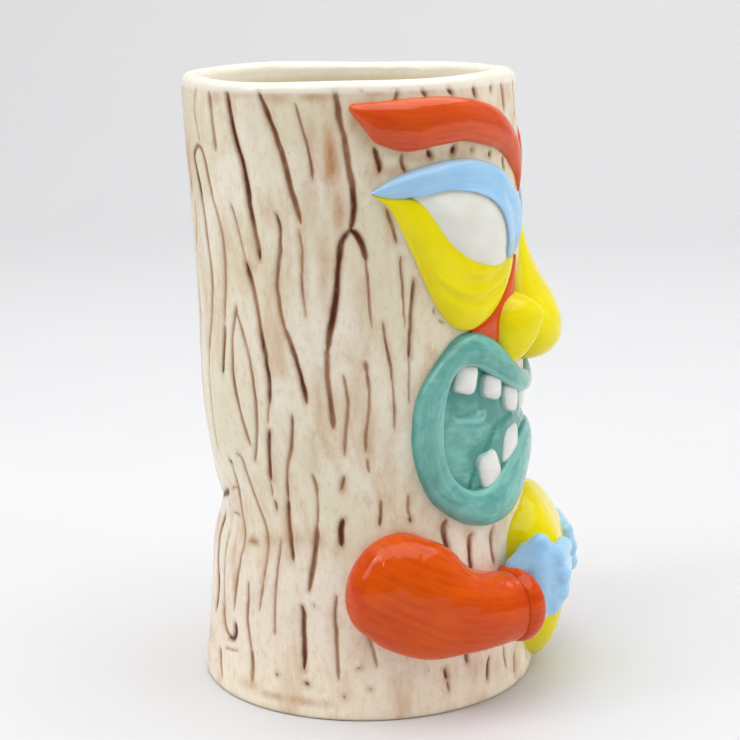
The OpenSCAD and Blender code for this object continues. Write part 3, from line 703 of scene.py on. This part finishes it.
def log_mesh():
    """The log: carved outside, rounded lip, smooth glazed cup and flat foot, as one closed skin."""
    angles = 360 * np.arange(AROUND) / AROUND
    lip_start = MUG_H - LIP_R
    heights = np.concatenate([[0.25, 0.8, 1.6], np.linspace(2.4, lip_start, OUTER_ROWS)])
    A, Z = np.meshgrid(angles, heights)
    depth, mask, tone, wash = carve(angles, heights)
    # bark swells between its splits, and the clay keeps the marks of the tool
    swell = sum(rise * value_noise(A / 360 * cells, Z / tall, seed) for rise, cells, tall, seed in BARK_SWELLS)
    fade = smooth((lip_start - Z) / 5) * smooth(Z / 3)
    d = swell * fade - GROOVE_DEPTH * depth
    d = np.where(Z < BEVEL_HIGH, d - BEVEL_IN * (1 - Z / BEVEL_HIGH) ** 2, d)
    # the mouth is cut away from under the middle of the lips
    d = d - MOUTH_DEPTH * smooth((mouth_inset(A, Z / K) + 3.1) / 1.4)
    outer = on_bark(A, Z, d)

    def ring(z, offset):
        return on_bark(angles, np.full(AROUND, z), np.full(AROUND, offset))

    wave = 0.35 * np.sin(np.radians(angles) * 2 + 0.8) + 0.2 * np.sin(np.radians(angles) * 5)
    lip = []
    for t in np.linspace(0, math.pi, 15)[1:]:
        row = ring(lip_start + LIP_R * math.sin(t), LIP_R * (math.cos(t) - 1))
        row[:, 2] += wave * math.sin(t)
        lip.append(row)
    # the wall gets 0.4 mm thicker on its way down
    inner = [ring(z, -WALL - 0.4 * (150 - z) / 130 - math.exp((z - lip_start) / 3))
             for z in np.linspace(lip_start - 2.5, 22, 26)]
    floor = [ring(FLOOR_T + rise, -WALL - inset) for rise, inset in FLOOR_CURVE]
    foot = [ring(0, -inset) * [1, 1, 0] for inset in (38, 20, 4, 1.2)]
    rows = np.concatenate([foot, outer, lip, inner, floor])
    n = len(rows)
    first, last = len(foot), len(foot) + len(heights)
    # zone is 0 on the foot, 1 on the bark, 2 on the lip and 3 in the cup
    zone = np.repeat([0, 1, 2, 3], [first, len(heights), len(lip), n - last - len(lip)])
    fields = {}
    for key, values in (("groove", mask), ("tone", tone), ("wash", wash), ("cloud", cloud_field(A, Z))):
        whole = np.zeros((n, AROUND))
        whole[first:last] = values
        fields[key] = whole.ravel()
    fields["zone"] = np.repeat(zone, AROUND)
    fields["stroke"] = stroke_field(angles * math.radians(1) * TRUNK_R, rows[..., 2], 0.0)
    return make_mesh("carved_log", rows.reshape(-1, 3), skin_faces(n, AROUND), fields)


# -------- materials
def linear(text):
    """A linear colour from a hex text."""
    parts = [int(text[i:i + 2], 16) / 255 for i in (1, 3, 5)]
    return tuple(x / 12.92 if x <= 0.04045 else ((x + 0.055) / 1.055) ** 2.4 for x in parts) + (1.0,)


class Nodes:
    """A node tree while it is built."""

    def __init__(self, tree):
        self.tree = tree

    def add(self, kind):
        return self.tree.nodes.new("ShaderNode" + kind)

    def feed(self, socket, value):
        if isinstance(value, bpy.types.NodeSocket):
            self.tree.links.new(value, socket)
        elif value is not None:
            socket.default_value = value

    def fill(self, node, **values):
        for key, value in values.items():
            self.feed(node.inputs[key.replace("_", " ")], value)

    def part_of(self, vector, axis):
        node = self.add("SeparateXYZ")
        self.feed(node.inputs[0], vector)
        return node.outputs[axis]

    def ramp(self, value, low, high, first=0.0, last=1.0):
        node = self.add("MapRange")
        node.interpolation_type = "SMOOTHSTEP"
        for socket, number in zip(node.inputs[:5], (value, low, high, first, last)):
            self.feed(socket, number)
        return node.outputs[0]

    def maths(self, kind, first, second, clamp=False):
        node = self.add("Math")
        node.operation = kind
        node.use_clamp = clamp
        self.feed(node.inputs[0], first)
        self.feed(node.inputs[1], second)
        return node.outputs[0]


class Shade(Nodes):
    """A procedural material while it is built."""

    def __init__(self, name):
        self.material = bpy.data.materials.new(name)
        self.material.use_nodes = True
        super().__init__(self.material.node_tree)
        self.tree.nodes.clear()
        out = self.add("OutputMaterial")
        self.shader = self.add("BsdfPrincipled")
        self.tree.links.new(self.shader.outputs[0], out.inputs[0])

    def set(self, **values):
        self.fill(self.shader, **values)

    def field(self, key):
        node = self.add("Attribute")
        node.attribute_name = key
        return node.outputs["Vector" if key == "stroke" else "Fac"]

    def place(self):
        """The point on the object, in millimetres."""
        return self.stretch(self.add("TexCoord").outputs["Object"], (1000, 1000, 1000))

    def stretch(self, vector, scale):
        node = self.add("VectorMath")
        node.operation = "MULTIPLY"
        self.feed(node.inputs[0], vector)
        node.inputs[1].default_value = scale
        return node.outputs[0]

    def noise(self, vector, scale, detail=2.0, rough=0.5, warp=0.0):
        node = self.add("TexNoise")
        self.fill(node, Vector=vector, Scale=scale, Detail=detail, Roughness=rough, Distortion=warp)
        return node.outputs["Fac"]

    def brushed(self, scale, detail, rough, warp=0.0):
        """Noise drawn out along the strokes of the brush."""
        return self.noise(self.stretch(self.field("stroke"), scale), 1.0, detail, rough, warp)

    def mix(self, factor, first, second):
        node = self.add("Mix")
        node.data_type = "RGBA"
        self.feed(node.inputs["Factor"], factor)
        for socket, colour in zip([i for i in node.inputs if i.type == "RGBA"], (first, second)):
            self.feed(socket, colour)
        return [o for o in node.outputs if o.type == "RGBA"][0]

    def layers(self, body, *rows):
        """Colours laid over one another. Each has a value, its ramp's two ends, the most it covers and a hex text."""
        for value, low, high, most, colour in rows:
            body = self.mix(self.ramp(value, low, high, 0.0, most), body, linear(colour))
        return body

    def relief(self, distance, waves, fine, share):
        """The uneven surface of a glaze: slow waves with a share of fine grain."""
        node = self.add("Bump")
        height = self.maths("ADD", waves, self.maths("MULTIPLY", fine, share))
        self.fill(node, Strength=1.0, Distance=distance, Height=height)
        return node.outputs[0]


def glaze(name, light, deep, streaks, thin, gloss=(0.07, 0.15), shine=0.5, bleed=0.93):
    """A brushed, fired colour under a clear coat: thin at the edges, pooled where the brush lingered."""
    s = Shade(name)
    place = s.place()
    brush = s.brushed((0.07, 0.75, 0.3), 3.0, 0.55, 0.6)
    cloud = s.noise(place, 0.075, 2.0, 0.5, 0.3)
    amount = s.maths("ADD", s.ramp(brush, 0.32, 0.68, 0.0, streaks), s.ramp(cloud, 0.3, 0.7, 0.0, 1 - streaks))
    colour = s.mix(amount, linear(light), linear(deep))
    rim = s.maths("ADD", s.field("edge"), s.maths("MULTIPLY", brush, 0.1))
    colour = s.layers(colour, (rim, bleed, bleed + 0.13, 0.7, thin))
    fine = s.noise(place, 1.1, 2.0, 0.6)
    s.set(Base_Color=colour, Roughness=s.ramp(fine, 0.3, 0.7, *gloss), IOR=1.5, Specular_IOR_Level=shine,
          Normal=s.relief(0.0004, s.noise(place, 0.16, 2.0, 0.45), fine, 0.06))
    return s.material


def bark_glaze():
    """Stain wiped into the carved grooves, a warm wash around them, and a clear coat over all."""
    s = Shade("bark_stain")
    place = s.place()
    height = s.part_of(place, 2)
    groove, tone, wash, cloud, zone = (s.field(key) for key in ("groove", "tone", "wash", "cloud", "zone"))
    patch = s.noise(place, 0.028, 3.0, 0.55, 0.4)
    # the stain was wiped down the log, so its clouds are long
    smear = s.brushed((0.1, 0.032, 0), 5.0, 0.62, 0.5)
    mottle = s.brushed((0.55, 0.3, 0), 4.0, 0.7, 0.3)
    smudge = s.brushed((0.26, 0.11, 0), 6.0, 0.66)
    worn = s.brushed((0.6, 0.22, 0), 2.0, 0.5)
    speck = s.noise(place, 1.1, 3.0, 0.6)
    body = s.layers(
        linear("#F2EAD8"), (patch, 0.36, 0.62, 1.0, "#E6DCC0"),
        (s.maths("ADD", height, s.maths("MULTIPLY", patch, 60.0)), 88.0, 40.0, 0.75, "#F3E2D0"),
        # painted light: the bark turns lighter (#FAECD4) towards the foot over its lowest 30 mm, for light thrown up
        # from the paper
        (height, 30, 3, 0.95, "#FAECD4"), (smear, 0.48, 0.74, 0.62, "#CFA67C"), (mottle, 0.45, 0.75, 0.3, "#C9A47A"),
        (smudge, 0.56, 0.78, 0.4, "#B78864"))
    wiped = s.maths("MULTIPLY", cloud, s.ramp(smudge, 0.28, 0.6, 0.35, 1.0))
    body = s.mix(s.maths("MULTIPLY", wiped, 0.95), body, linear("#BA8148"))
    halo = s.maths("MULTIPLY", s.ramp(wash, 0.12, 0.95), s.ramp(smudge, 0.3, 0.6, 0.2, 0.75))
    body = s.mix(halo, body, linear("#B07C56"))
    stain = s.layers(linear("#9C6844"), (tone, 0.4, 0.95, 1.0, "#562811"))
    cover = s.maths("MULTIPLY", groove, s.ramp(worn, 0.25, 0.5, 0.75, 1.0))
    body = s.mix(s.maths("MULTIPLY", cover, s.ramp(tone, 0.2, 0.8, 0.6, 1.0)), body, stain)
    body = s.layers(
        body, (speck, 0.66, 0.76, 0.45, "#A06E4C"), (height, MUG_H - 3.4, MUG_H - 2.2, 0.9, "#F4EDDF"),
        # painted shade: the lowest millimetre darkens to olive (#9A8C70), partly a real dark line at the foot and
        # partly painted contact shadow; the cup's inside (#E2D9B8) is painted darker than the lip, as painted shade in
        # the cup
        (height, 0.9, 0.3, 0.35, "#9A8C70"), (zone, 1.4, 2.0, 1.0, "#F0E9D8"), (zone, 2.2, 3.0, 1.0, "#E2D9B8"),
        (zone, 0.6, 0.2, 1.0, "#DCD2C4"))
    fine = s.noise(place, 0.9, 3.0, 0.6)
    rough = s.maths("ADD", s.ramp(fine, 0.3, 0.7, 0.13, 0.24), s.ramp(zone, 0.6, 0.2, 0.0, 0.45))
    s.set(Base_Color=body, Roughness=s.maths("ADD", rough, s.maths("MULTIPLY", groove, 0.25)), IOR=1.5,
          Specular_IOR_Level=s.maths("SUBTRACT", 0.5, s.maths("MULTIPLY", groove, 0.35)),
          Normal=s.relief(0.0006, s.noise(place, 0.12, 2.0, 0.5), fine, 0.12))
    return s.material


def teal_glaze(name, light, deep, pale):
    """A glaze with pale brush streaks. A field on its points darkens it round the teeth, partly pooled glaze and
    partly painted shade, and lightens it in a painted highlight along the lips' inner slope and on a run of glaze.
    """
    s = Shade(name)
    place = s.place()
    brush = s.brushed((0.08, 0.3, 0.2), 3.0, 0.55, 1.2)
    cloud = s.noise(place, 0.11, 3.0, 0.55, 0.8)
    amount = s.maths("ADD", s.ramp(brush, 0.34, 0.66, 0.0, 0.45), s.ramp(cloud, 0.35, 0.65, 0.0, 0.4))
    colour = s.mix(s.maths("ADD", amount, s.field("glaze_pool_and_painted_light"), True), linear(light), linear(deep))
    colour = s.layers(colour, (brush, 0.6, 0.78, 0.2, pale))
    fine = s.noise(place, 1.1, 2.0, 0.6)
    s.set(Base_Color=colour, Roughness=s.ramp(fine, 0.3, 0.7, 0.08, 0.16), IOR=1.5,
          Normal=s.relief(0.0005, s.noise(place, 0.16, 2.0, 0.45), fine, 0.06))
    return s.material


BARK = bark_glaze()
ORANGE = glaze("orange_brushed", "#DE5510", "#CC3E00", 0.5, "#DD6A2C", gloss=(0.04, 0.08))
RED_ORANGE = glaze("orange_arm_brushed", "#DF5700", "#CA3E00", 0.5, "#DD6A2C", gloss=(0.03, 0.07), shine=0.3)
BLUE = glaze("blue_brushed", "#AAD5F3", "#97C7EC", 0.4, "#9DB6BE")
YELLOW = glaze("yellow_brushed", "#F3E410", "#E8D400", 0.28, "#EDE03C", shine=0.22)
TEAL = teal_glaze("teal_pooled_and_painted_light", "#7EBFB5", "#4E9388", "#A0D4CA")
EYE_WHITE = glaze("white_glazed", "#EFEEE4", "#E2E1D6", 0.12, "#DCD9B8")
TOOTH_WHITE = glaze("tooth_glazed", "#EDEBE6", "#DDDCD6", 0.2, "#7FB9B0", bleed=0.86)


# -------- pieces of the face
def add_piece(obj, node, material):
    obj.data.materials.append(material)
    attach(obj, "root")
    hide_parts(node)


def both_sides(build, node, material):
    """The same piece on each side of the face."""
    for side, mirrored in (("right", False), ("left", True)):
        add_piece(build(f"{node}_{side}_glazed", mirrored), f"{node}_{side}", material)


def joined(name, objects):
    """One object from several."""
    with bpy.context.temp_override(active_object=objects[0], selected_editable_objects=objects):
        bpy.ops.object.join()
    objects[0].name = name
    objects[0].data.name = name
    return objects[0]


def brow(name, mirrored):
    return band(name, BROW_TOP, BROW_FOOT, [r * BROW_RISE for r in BROW_SHAPE], mirrored=mirrored)


def eyelid(name, mirrored):
    def over_eye(a, z, height):
        # the lid rolls off the bark on to the eyeball, and ends there in a low rounded step
        resting = eye_height(a, z) + LID_STEP * np.minimum(1, height / 0.9)
        return 0.5 * (height + resting + np.sqrt((height - resting) ** 2 + 1.4 * np.minimum(1, height)))

    rises = [r * LID_RISE for r in LID_SHAPE]
    obj = band(name, LID_TOP, LID_FOOT, rises, parts=40, power=2.5, mirrored=mirrored, lift=over_eye)
    edge, along = values_of(obj, "edge"), values_of(obj, "stroke")[:, 0]
    # the blue runs out into a grey green at the inner end
    give_values(obj, "edge", np.maximum(edge, 1.1 * smooth((along / along.max() - 0.72) / 0.24)))
    return obj


def eyeball(name, mirrored):
    middle = np.array(EYE_MIDDLE)
    outline = middle + (curve(EYE_OUTLINE, 6, True) - middle) * EYE_SPREAD
    return pillow(name, outline, middle, EYE_RISE, rows=24, mirrored=mirrored)


def cheek(name, mirrored):
    def fold(a, z, height):
        for half, depth, line in FOLDS:
            p = np.array(line[::-1])
            offset = z - np.interp(a, p[:, 0], p[:, 1])
            ends = smooth((a - p[0, 0]) / 4) * smooth((p[-1, 0] - a) / 4)
            height = height - depth * ends * (bell(offset / half) - 0.45 * bell((offset - 1.9 * half) / half))
        return height

    rises = [r * CHEEK_RISE for r in CHEEK_SHAPE]
    return band(name, SOCKET_EDGE, CHEEK_EDGE, rises, parts=44, power=2.5, mirrored=mirrored, lift=fold)


def nose_strip(name, mirrored):
    return band(name, STRIP_INSIDE, STRIP_OUTSIDE, STRIP_RISES, power=3, mirrored=mirrored)


def nostril(name, mirrored):
    return pillow(name, curve(WING, 8, True), (17.5, 99), 8.2, rows=24, power=1.7, mirrored=mirrored)


def nose():
    left = [(-a, z) for a, z in NOSE_SIDE]
    return band("nose_glazed", left, NOSE_SIDE, NOSE_RISES, steps=16, parts=48, power=1.9)


def lips():
    outside = LIP_EDGE + other_side(LIP_EDGE)
    inside = MOUTH_EDGE + other_side(MOUTH_EDGE)
    rises = [LIP_RISE * (0.65 + 0.35 * float(smooth(abs(a) / 40))) for a, z in outside]
    obj = band("lips_glazed", inside, outside, rises, steps=10, parts=24, ring=True)
    edge, across = values_of(obj, "edge"), values_of(obj, "stroke")[:, 1]
    # painted highlight: a pale line along the lip's inner slope; the glaze darkens at the inner foot and along the
    # outer foot, where it pools
    inner = -1.0 * bell((edge - 0.86) / 0.09) + 0.7 * smooth((edge - 0.93) / 0.07)
    give_values(obj, "glaze_pool_and_painted_light", np.where(across < 0, inner, 0.5 * smooth((edge - 0.75) / 0.25)))
    return obj


def mouth_panel():
    top = PANEL_TOP + other_side(PANEL_TOP) + [(-62, 73)]
    foot = PANEL_FOOT + other_side(PANEL_FOOT) + [(-62, 71)]

    def run_at(a, z):
        line = curve(GLAZE_RUN, 6)
        away = np.hypot((np.abs(a)[..., None] - line[:, 0]) * DEGREE, z[..., None] - line[:, 1]).min(-1)
        return np.where(a > 0, bell(away / 0.55), 0)

    def over_gum(a, z):
        p = np.array(GUM_LINE)
        return np.interp(np.abs(a), p[:, 0], p[:, 1]) - z

    def sunk(a, z, height):
        waves = 0.12 * value_noise(a / 9, z / 5, 4) + 0.1 * value_noise(a / 4, z / 3, 6)
        gum = 0.7 * smooth(over_gum(a, z) / 1.6 + 0.3)
        # the corner of the panel comes up under the lips
        corner = 1.5 * smooth((np.abs(a) - 56.8) / 1.7)
        return PANEL_FLOAT + waves + gum + corner + 0.3 * run_at(a, z) - 1.2 * (height < 0.3)

    obj = band("mouth_panel_glazed", top, foot, [0.7] * len(top), steps=22, parts=120, power=4, lift=sunk)
    x, y, z = points_of(obj.data).T / MM
    a = np.degrees(np.arctan2(-x, -(y - axis_y(z))))
    z = z / K
    glaze_pool_and_painted_light = np.zeros(len(a))
    # darker teal round each tooth, in a tongue under the first three, along the gum and at the lips: partly pooled
    # glaze, partly painted shade beside and under the raised teeth and lips
    for k, corners in enumerate(UPPER_SET + LOWER_SET):
        p = np.array(corners)
        middle, half = p.mean(0), (p.max(0) - p.min(0)) / 2
        beside = np.abs(np.abs(a) - middle[0])
        da = np.maximum(beside - half[0] * 0.8, 0) * DEGREE
        dz = np.maximum(np.abs(z - middle[1]) - half[1] * 0.85, 0)
        glaze_pool_and_painted_light = np.maximum(glaze_pool_and_painted_light, 0.95 * bell(np.hypot(da, dz) / 2.2))
        if k < 3:
            da = np.maximum(beside - 4.5, 0) * DEGREE
            below = p[:, 1].min() - 1.5 - z
            glaze_pool_and_painted_light = np.maximum(glaze_pool_and_painted_light, 0.6 * bell(da / 1.8) * smooth((4.2 - below) / 1.5) * (below > -4))
    glaze_pool_and_painted_light = np.maximum(glaze_pool_and_painted_light, 0.85 * bell((over_gum(a, z) + 0.6) / 1.3))
    glaze_pool_and_painted_light = np.maximum(glaze_pool_and_painted_light, 0.5 * bell(np.maximum(mouth_inset(a, z), 0) / 1.6))
    give_values(obj, "glaze_pool_and_painted_light", glaze_pool_and_painted_light - 0.9 * run_at(a, z))
    return obj


def teeth(name, row):
    made = []
    root = 1.4
    for corners in row:
        for sign in (1, -1):
            outline = tooth_outline(corners, sign)
            middle = outline.mean(0)
            rise = 0.5 + 1.2 * float(smooth(abs(middle[0]) / 42))
            made.append(pillow("tooth", outline, middle, rise + root, rows=10, power=2.6, base=-root))
    return joined(name, made)


# -------- arms, hands and board
# Each station is (angle, height, lift of the axis, half width, half depth)
ARM = places("""77 35.1 1 14.3 9.3, 71 32.5 1.2 14.9 9.8, 62.8 29.1 1.5 13.8 10, 53.7 27 1.8 11.2 10, 45 26 2.5 9.8 10,
    40 25.8 3.3 9.3 9.6, 35.5 25.8 4.2 9 9""")
CUFF = places("36.2 25.8 4.2 9.3 9.4, 34.6 25.8 4.5 9.9 9.9, 33 25.8 4.6 9.5 9.6")
# Each capsule is the x, y and z of its start and of its end, and its two radii, on the -X side
HAND = places("""-21.5 -45 25 -21.5 -45 35.5 5.6 5.6, -20.5 -48.3 25.5 -20.5 -48 36.5 4.8 4.2,
    -21 -50.4 36.4 -10 -52.6 36 2.9 2.6, -21 -51.8 32 -8.5 -52.6 31.6 3 2.7, -21 -51.3 27.4 -8.5 -52.4 27 3 2.7,
    -20.5 -49.2 23.2 -10 -51.2 22.9 2.8 2.5, -24.4 -40.8 34.5 -23.2 -46.6 41.1 3.4 2.6""")
FAR_HAND = places("""-21.5 -45 25 -21.5 -45 33.5 5.6 5.6, -20.5 -49.3 24.5 -20.5 -49 33.5 5 4.4,
    -21 -50.6 34.2 -10 -53.4 33.6 2.9 2.7, -21 -52.8 30.2 -8.5 -54.3 29.8 3 2.8, -21 -52.8 26.1 -8.5 -54.4 25.7 3 2.8,
    -20.5 -50.6 22.3 -10 -53 22 2.8 2.6, -24 -40.8 33 -22.8 -44.2 37.2 3.4 2.9""")
# Each row is (height, share of the half width, share of the reach)
BOARD_ROWS = places("""2 0.06 0.85, 5 0.32 0.9, 11 0.62 0.955, 20 0.86 0.99, 30 1 1, 38 1.02 0.975, 43 0.94 0.93,
    47.2 0.72 0.88, 49.6 0.42 0.84, 50.6 0.06 0.81""")
BOARD_HALF_W, BOARD_REACH, BOARD_BACK = 20, 53.6, 33


def arm(name, mirrored):
    return tube(name, ARM, (12.0, 1.0), mirrored)


def cuff(name, mirrored):
    return tube(name, CUFF, (1.0, 1.3), mirrored)


def hand(name, mirrored):
    return fused(name, FAR_HAND if mirrored else HAND, mirrored)


def board():
    """The pointed board: flat at the back, inside the log, and rounded at the front."""
    rows = []
    turns = np.linspace(0, np.pi, 61)
    for height, share, reach in curve(BOARD_ROWS, 8):
        w = share * BOARD_HALF_W
        depth = reach * BOARD_REACH - BOARD_BACK
        x, y = -w * rounded(np.cos(turns), 0.5), -BOARD_BACK - depth * np.sin(turns) ** 0.5
        front = np.stack([x, y, np.full(len(x), height * K)], -1)
        back = [[side, -BOARD_BACK + 3, height * K] for side in (w, -w)]
        rows.append(np.concatenate([back, front]))
    rows = np.array(rows)
    n, m = rows.shape[:2]
    fields = {"stroke": rows[..., [2, 0, 1]].reshape(-1, 3), "edge": np.zeros(n * m)}
    return make_mesh("board_glazed", rows.reshape(-1, 3), skin_faces(n, m), fields)


add_piece(log_mesh(), "log_body", BARK)
both_sides(brow, "brow", ORANGE)
both_sides(eyelid, "eyelid", BLUE)
both_sides(eyeball, "eyeball", EYE_WHITE)
both_sides(cheek, "cheek", YELLOW)
both_sides(nose_strip, "nose_strip", ORANGE)
both_sides(nostril, "nostril", YELLOW)
add_piece(nose(), "nose", YELLOW)
add_piece(mouth_panel(), "mouth_panel", TEAL)
add_piece(teeth("upper_teeth_glazed", UPPER_SET), "upper_teeth", TOOTH_WHITE)
add_piece(teeth("lower_teeth_glazed", LOWER_SET), "lower_teeth", TOOTH_WHITE)
add_piece(lips(), "lips", TEAL)
both_sides(arm, "arm", RED_ORANGE)
both_sides(cuff, "cuff", RED_ORANGE)
both_sides(hand, "hand", BLUE)
add_piece(board(), "board", YELLOW)


# -------- stage, light and camera
def sweep():
    """Seamless paper: flat under the mug, curving up behind it."""
    s = Shade("studio_paper")
    place = s.place()
    fine = s.noise(place, 0.02, 2.0)
    # painted light: the paper brightens from about 0.7 to 0.87 towards the wall and up it, painted in place of more
    # light falling there
    far = s.ramp(s.maths("ADD", s.part_of(place, 0), s.part_of(place, 2)), 100, 1900)
    paper = s.mix(fine, (0.68, 0.68, 0.69, 1), (0.7, 0.7, 0.705, 1))
    paper = s.mix(far, paper, (0.87, 0.87, 0.875, 1))
    s.set(Base_Color=paper, Roughness=s.ramp(fine, 0.3, 0.7, 0.55, 0.65), IOR=1.3)
    bend, radius = 750, 500
    wall = bend + radius
    turn = np.linspace(0, np.pi / 2, 17)[1:]
    profile = [(-560, 0), (-300, 0), (300, 0), (bend, 0)]
    profile += [(bend + radius * math.sin(t), radius * (1 - math.cos(t))) for t in turn]
    profile += [(wall, 1100), (wall, 1700)]
    width = np.linspace(-2500, 2500, 11)
    points = [(x * MM, y * MM, z * MM) for x, z in profile for y in width]
    n = len(width)
    faces = [(i * n + j, (i + 1) * n + j, (i + 1) * n + j + 1, i * n + j + 1)
             for i in range(len(profile) - 1) for j in range(n - 1)]
    mesh = bpy.data.meshes.new("studio_sweep")
    mesh.from_pydata(points, [], faces)
    mesh.polygons.foreach_set("use_smooth", [True] * len(faces))
    obj = bpy.data.objects.new("studio_sweep", mesh)
    obj.data.materials.append(s.material)
    bpy.context.scene.collection.objects.link(obj)


def area_light(name, place, target, size, power, mirrored_in_glaze=True):
    light = bpy.data.lights.new(name, "AREA")
    light.shape = "RECTANGLE"
    light.size, light.size_y = size
    light.energy = power
    obj = bpy.data.objects.new(name, light)
    obj.location = place
    obj.rotation_euler = (Vector(target) - Vector(place)).to_track_quat("-Z", "Y").to_euler()
    obj.visible_glossy = mirrored_in_glaze
    bpy.context.scene.collection.objects.link(obj)


def world():
    """A white room: bright above and behind the object, darker at eye level behind the camera."""
    w = bpy.data.worlds.new("white_room")
    w.use_nodes = True
    room = Nodes(w.node_tree)
    back = room.tree.nodes["Background"]
    split = room.add("SeparateXYZ")
    room.feed(split.inputs[0], room.add("TexCoord").outputs["Generated"])
    up = room.ramp(split.outputs[2], 0.6, 0.95, 0.0, 0.7)
    behind = room.ramp(split.outputs[0], -0.2, 0.7, 0.22, 0.75)
    room.feed(back.inputs["Strength"], room.maths("MAXIMUM", up, behind))
    back.inputs["Color"].default_value = (0.97, 0.985, 1.0, 1)
    bpy.context.scene.world = w


def camera():
    """The photograph's view: from the mug's own right side, a little in front of it and above it."""
    data = bpy.data.cameras.new("view")
    data.lens, data.sensor_width = 92, 36
    distance, height, aside = 0.490, 0.191, 0.00159
    obj = bpy.data.objects.new("view", data)
    turn, pitch, roll = (math.radians(x) for x in (-85, 12.65, -0.93))
    back = Vector((math.sin(turn), -math.cos(turn), 0))
    forward = -back * math.cos(pitch) + Vector((0, 0, -math.sin(pitch)))
    right = Vector((-back.y, back.x, 0))
    up = right.cross(forward)
    right, up = right * math.cos(roll) + up * math.sin(roll), up * math.cos(roll) - right * math.sin(roll)
    place = back * distance + Vector((0, 0, height)) + right * aside
    turned = Matrix((right, up, -forward)).transposed().to_4x4()
    obj.matrix_world = Matrix.Translation(place) @ turned
    bpy.context.scene.collection.objects.link(obj)
    bpy.context.scene.camera = obj


sweep()
area_light("overhead", (0.0, 0.0, 0.95), (0.0, 0, 0), (1.4, 1.6), 12.0)
area_light("window", (-0.35, 0.8, 0.7), (0, 0, 0.09), (0.3, 0.7), 1.8)
area_light("front_fill", (-0.1, -1.3, 0.35), (0, 0, 0.04), (1.6, 1.1), 8.7, mirrored_in_glaze=False)
area_light("back_fill", (-0.5, 1.1, 0.3), (0, 0, 0.08), (0.9, 0.9), 1.3, mirrored_in_glaze=False)
# two bright panes that show as short upright glints on the shoulder of the arm
area_light("pane_left", (-0.27, 0.74, 0.66), (0, 0, 0.04), (0.035, 0.3), 0.34)
area_light("pane_right", (-0.60, 0.375, 0.75), (0, 0, 0.04), (0.04, 0.3), 0.48)
world()
camera()
bpy.context.scene.view_settings.view_transform = "Standard"
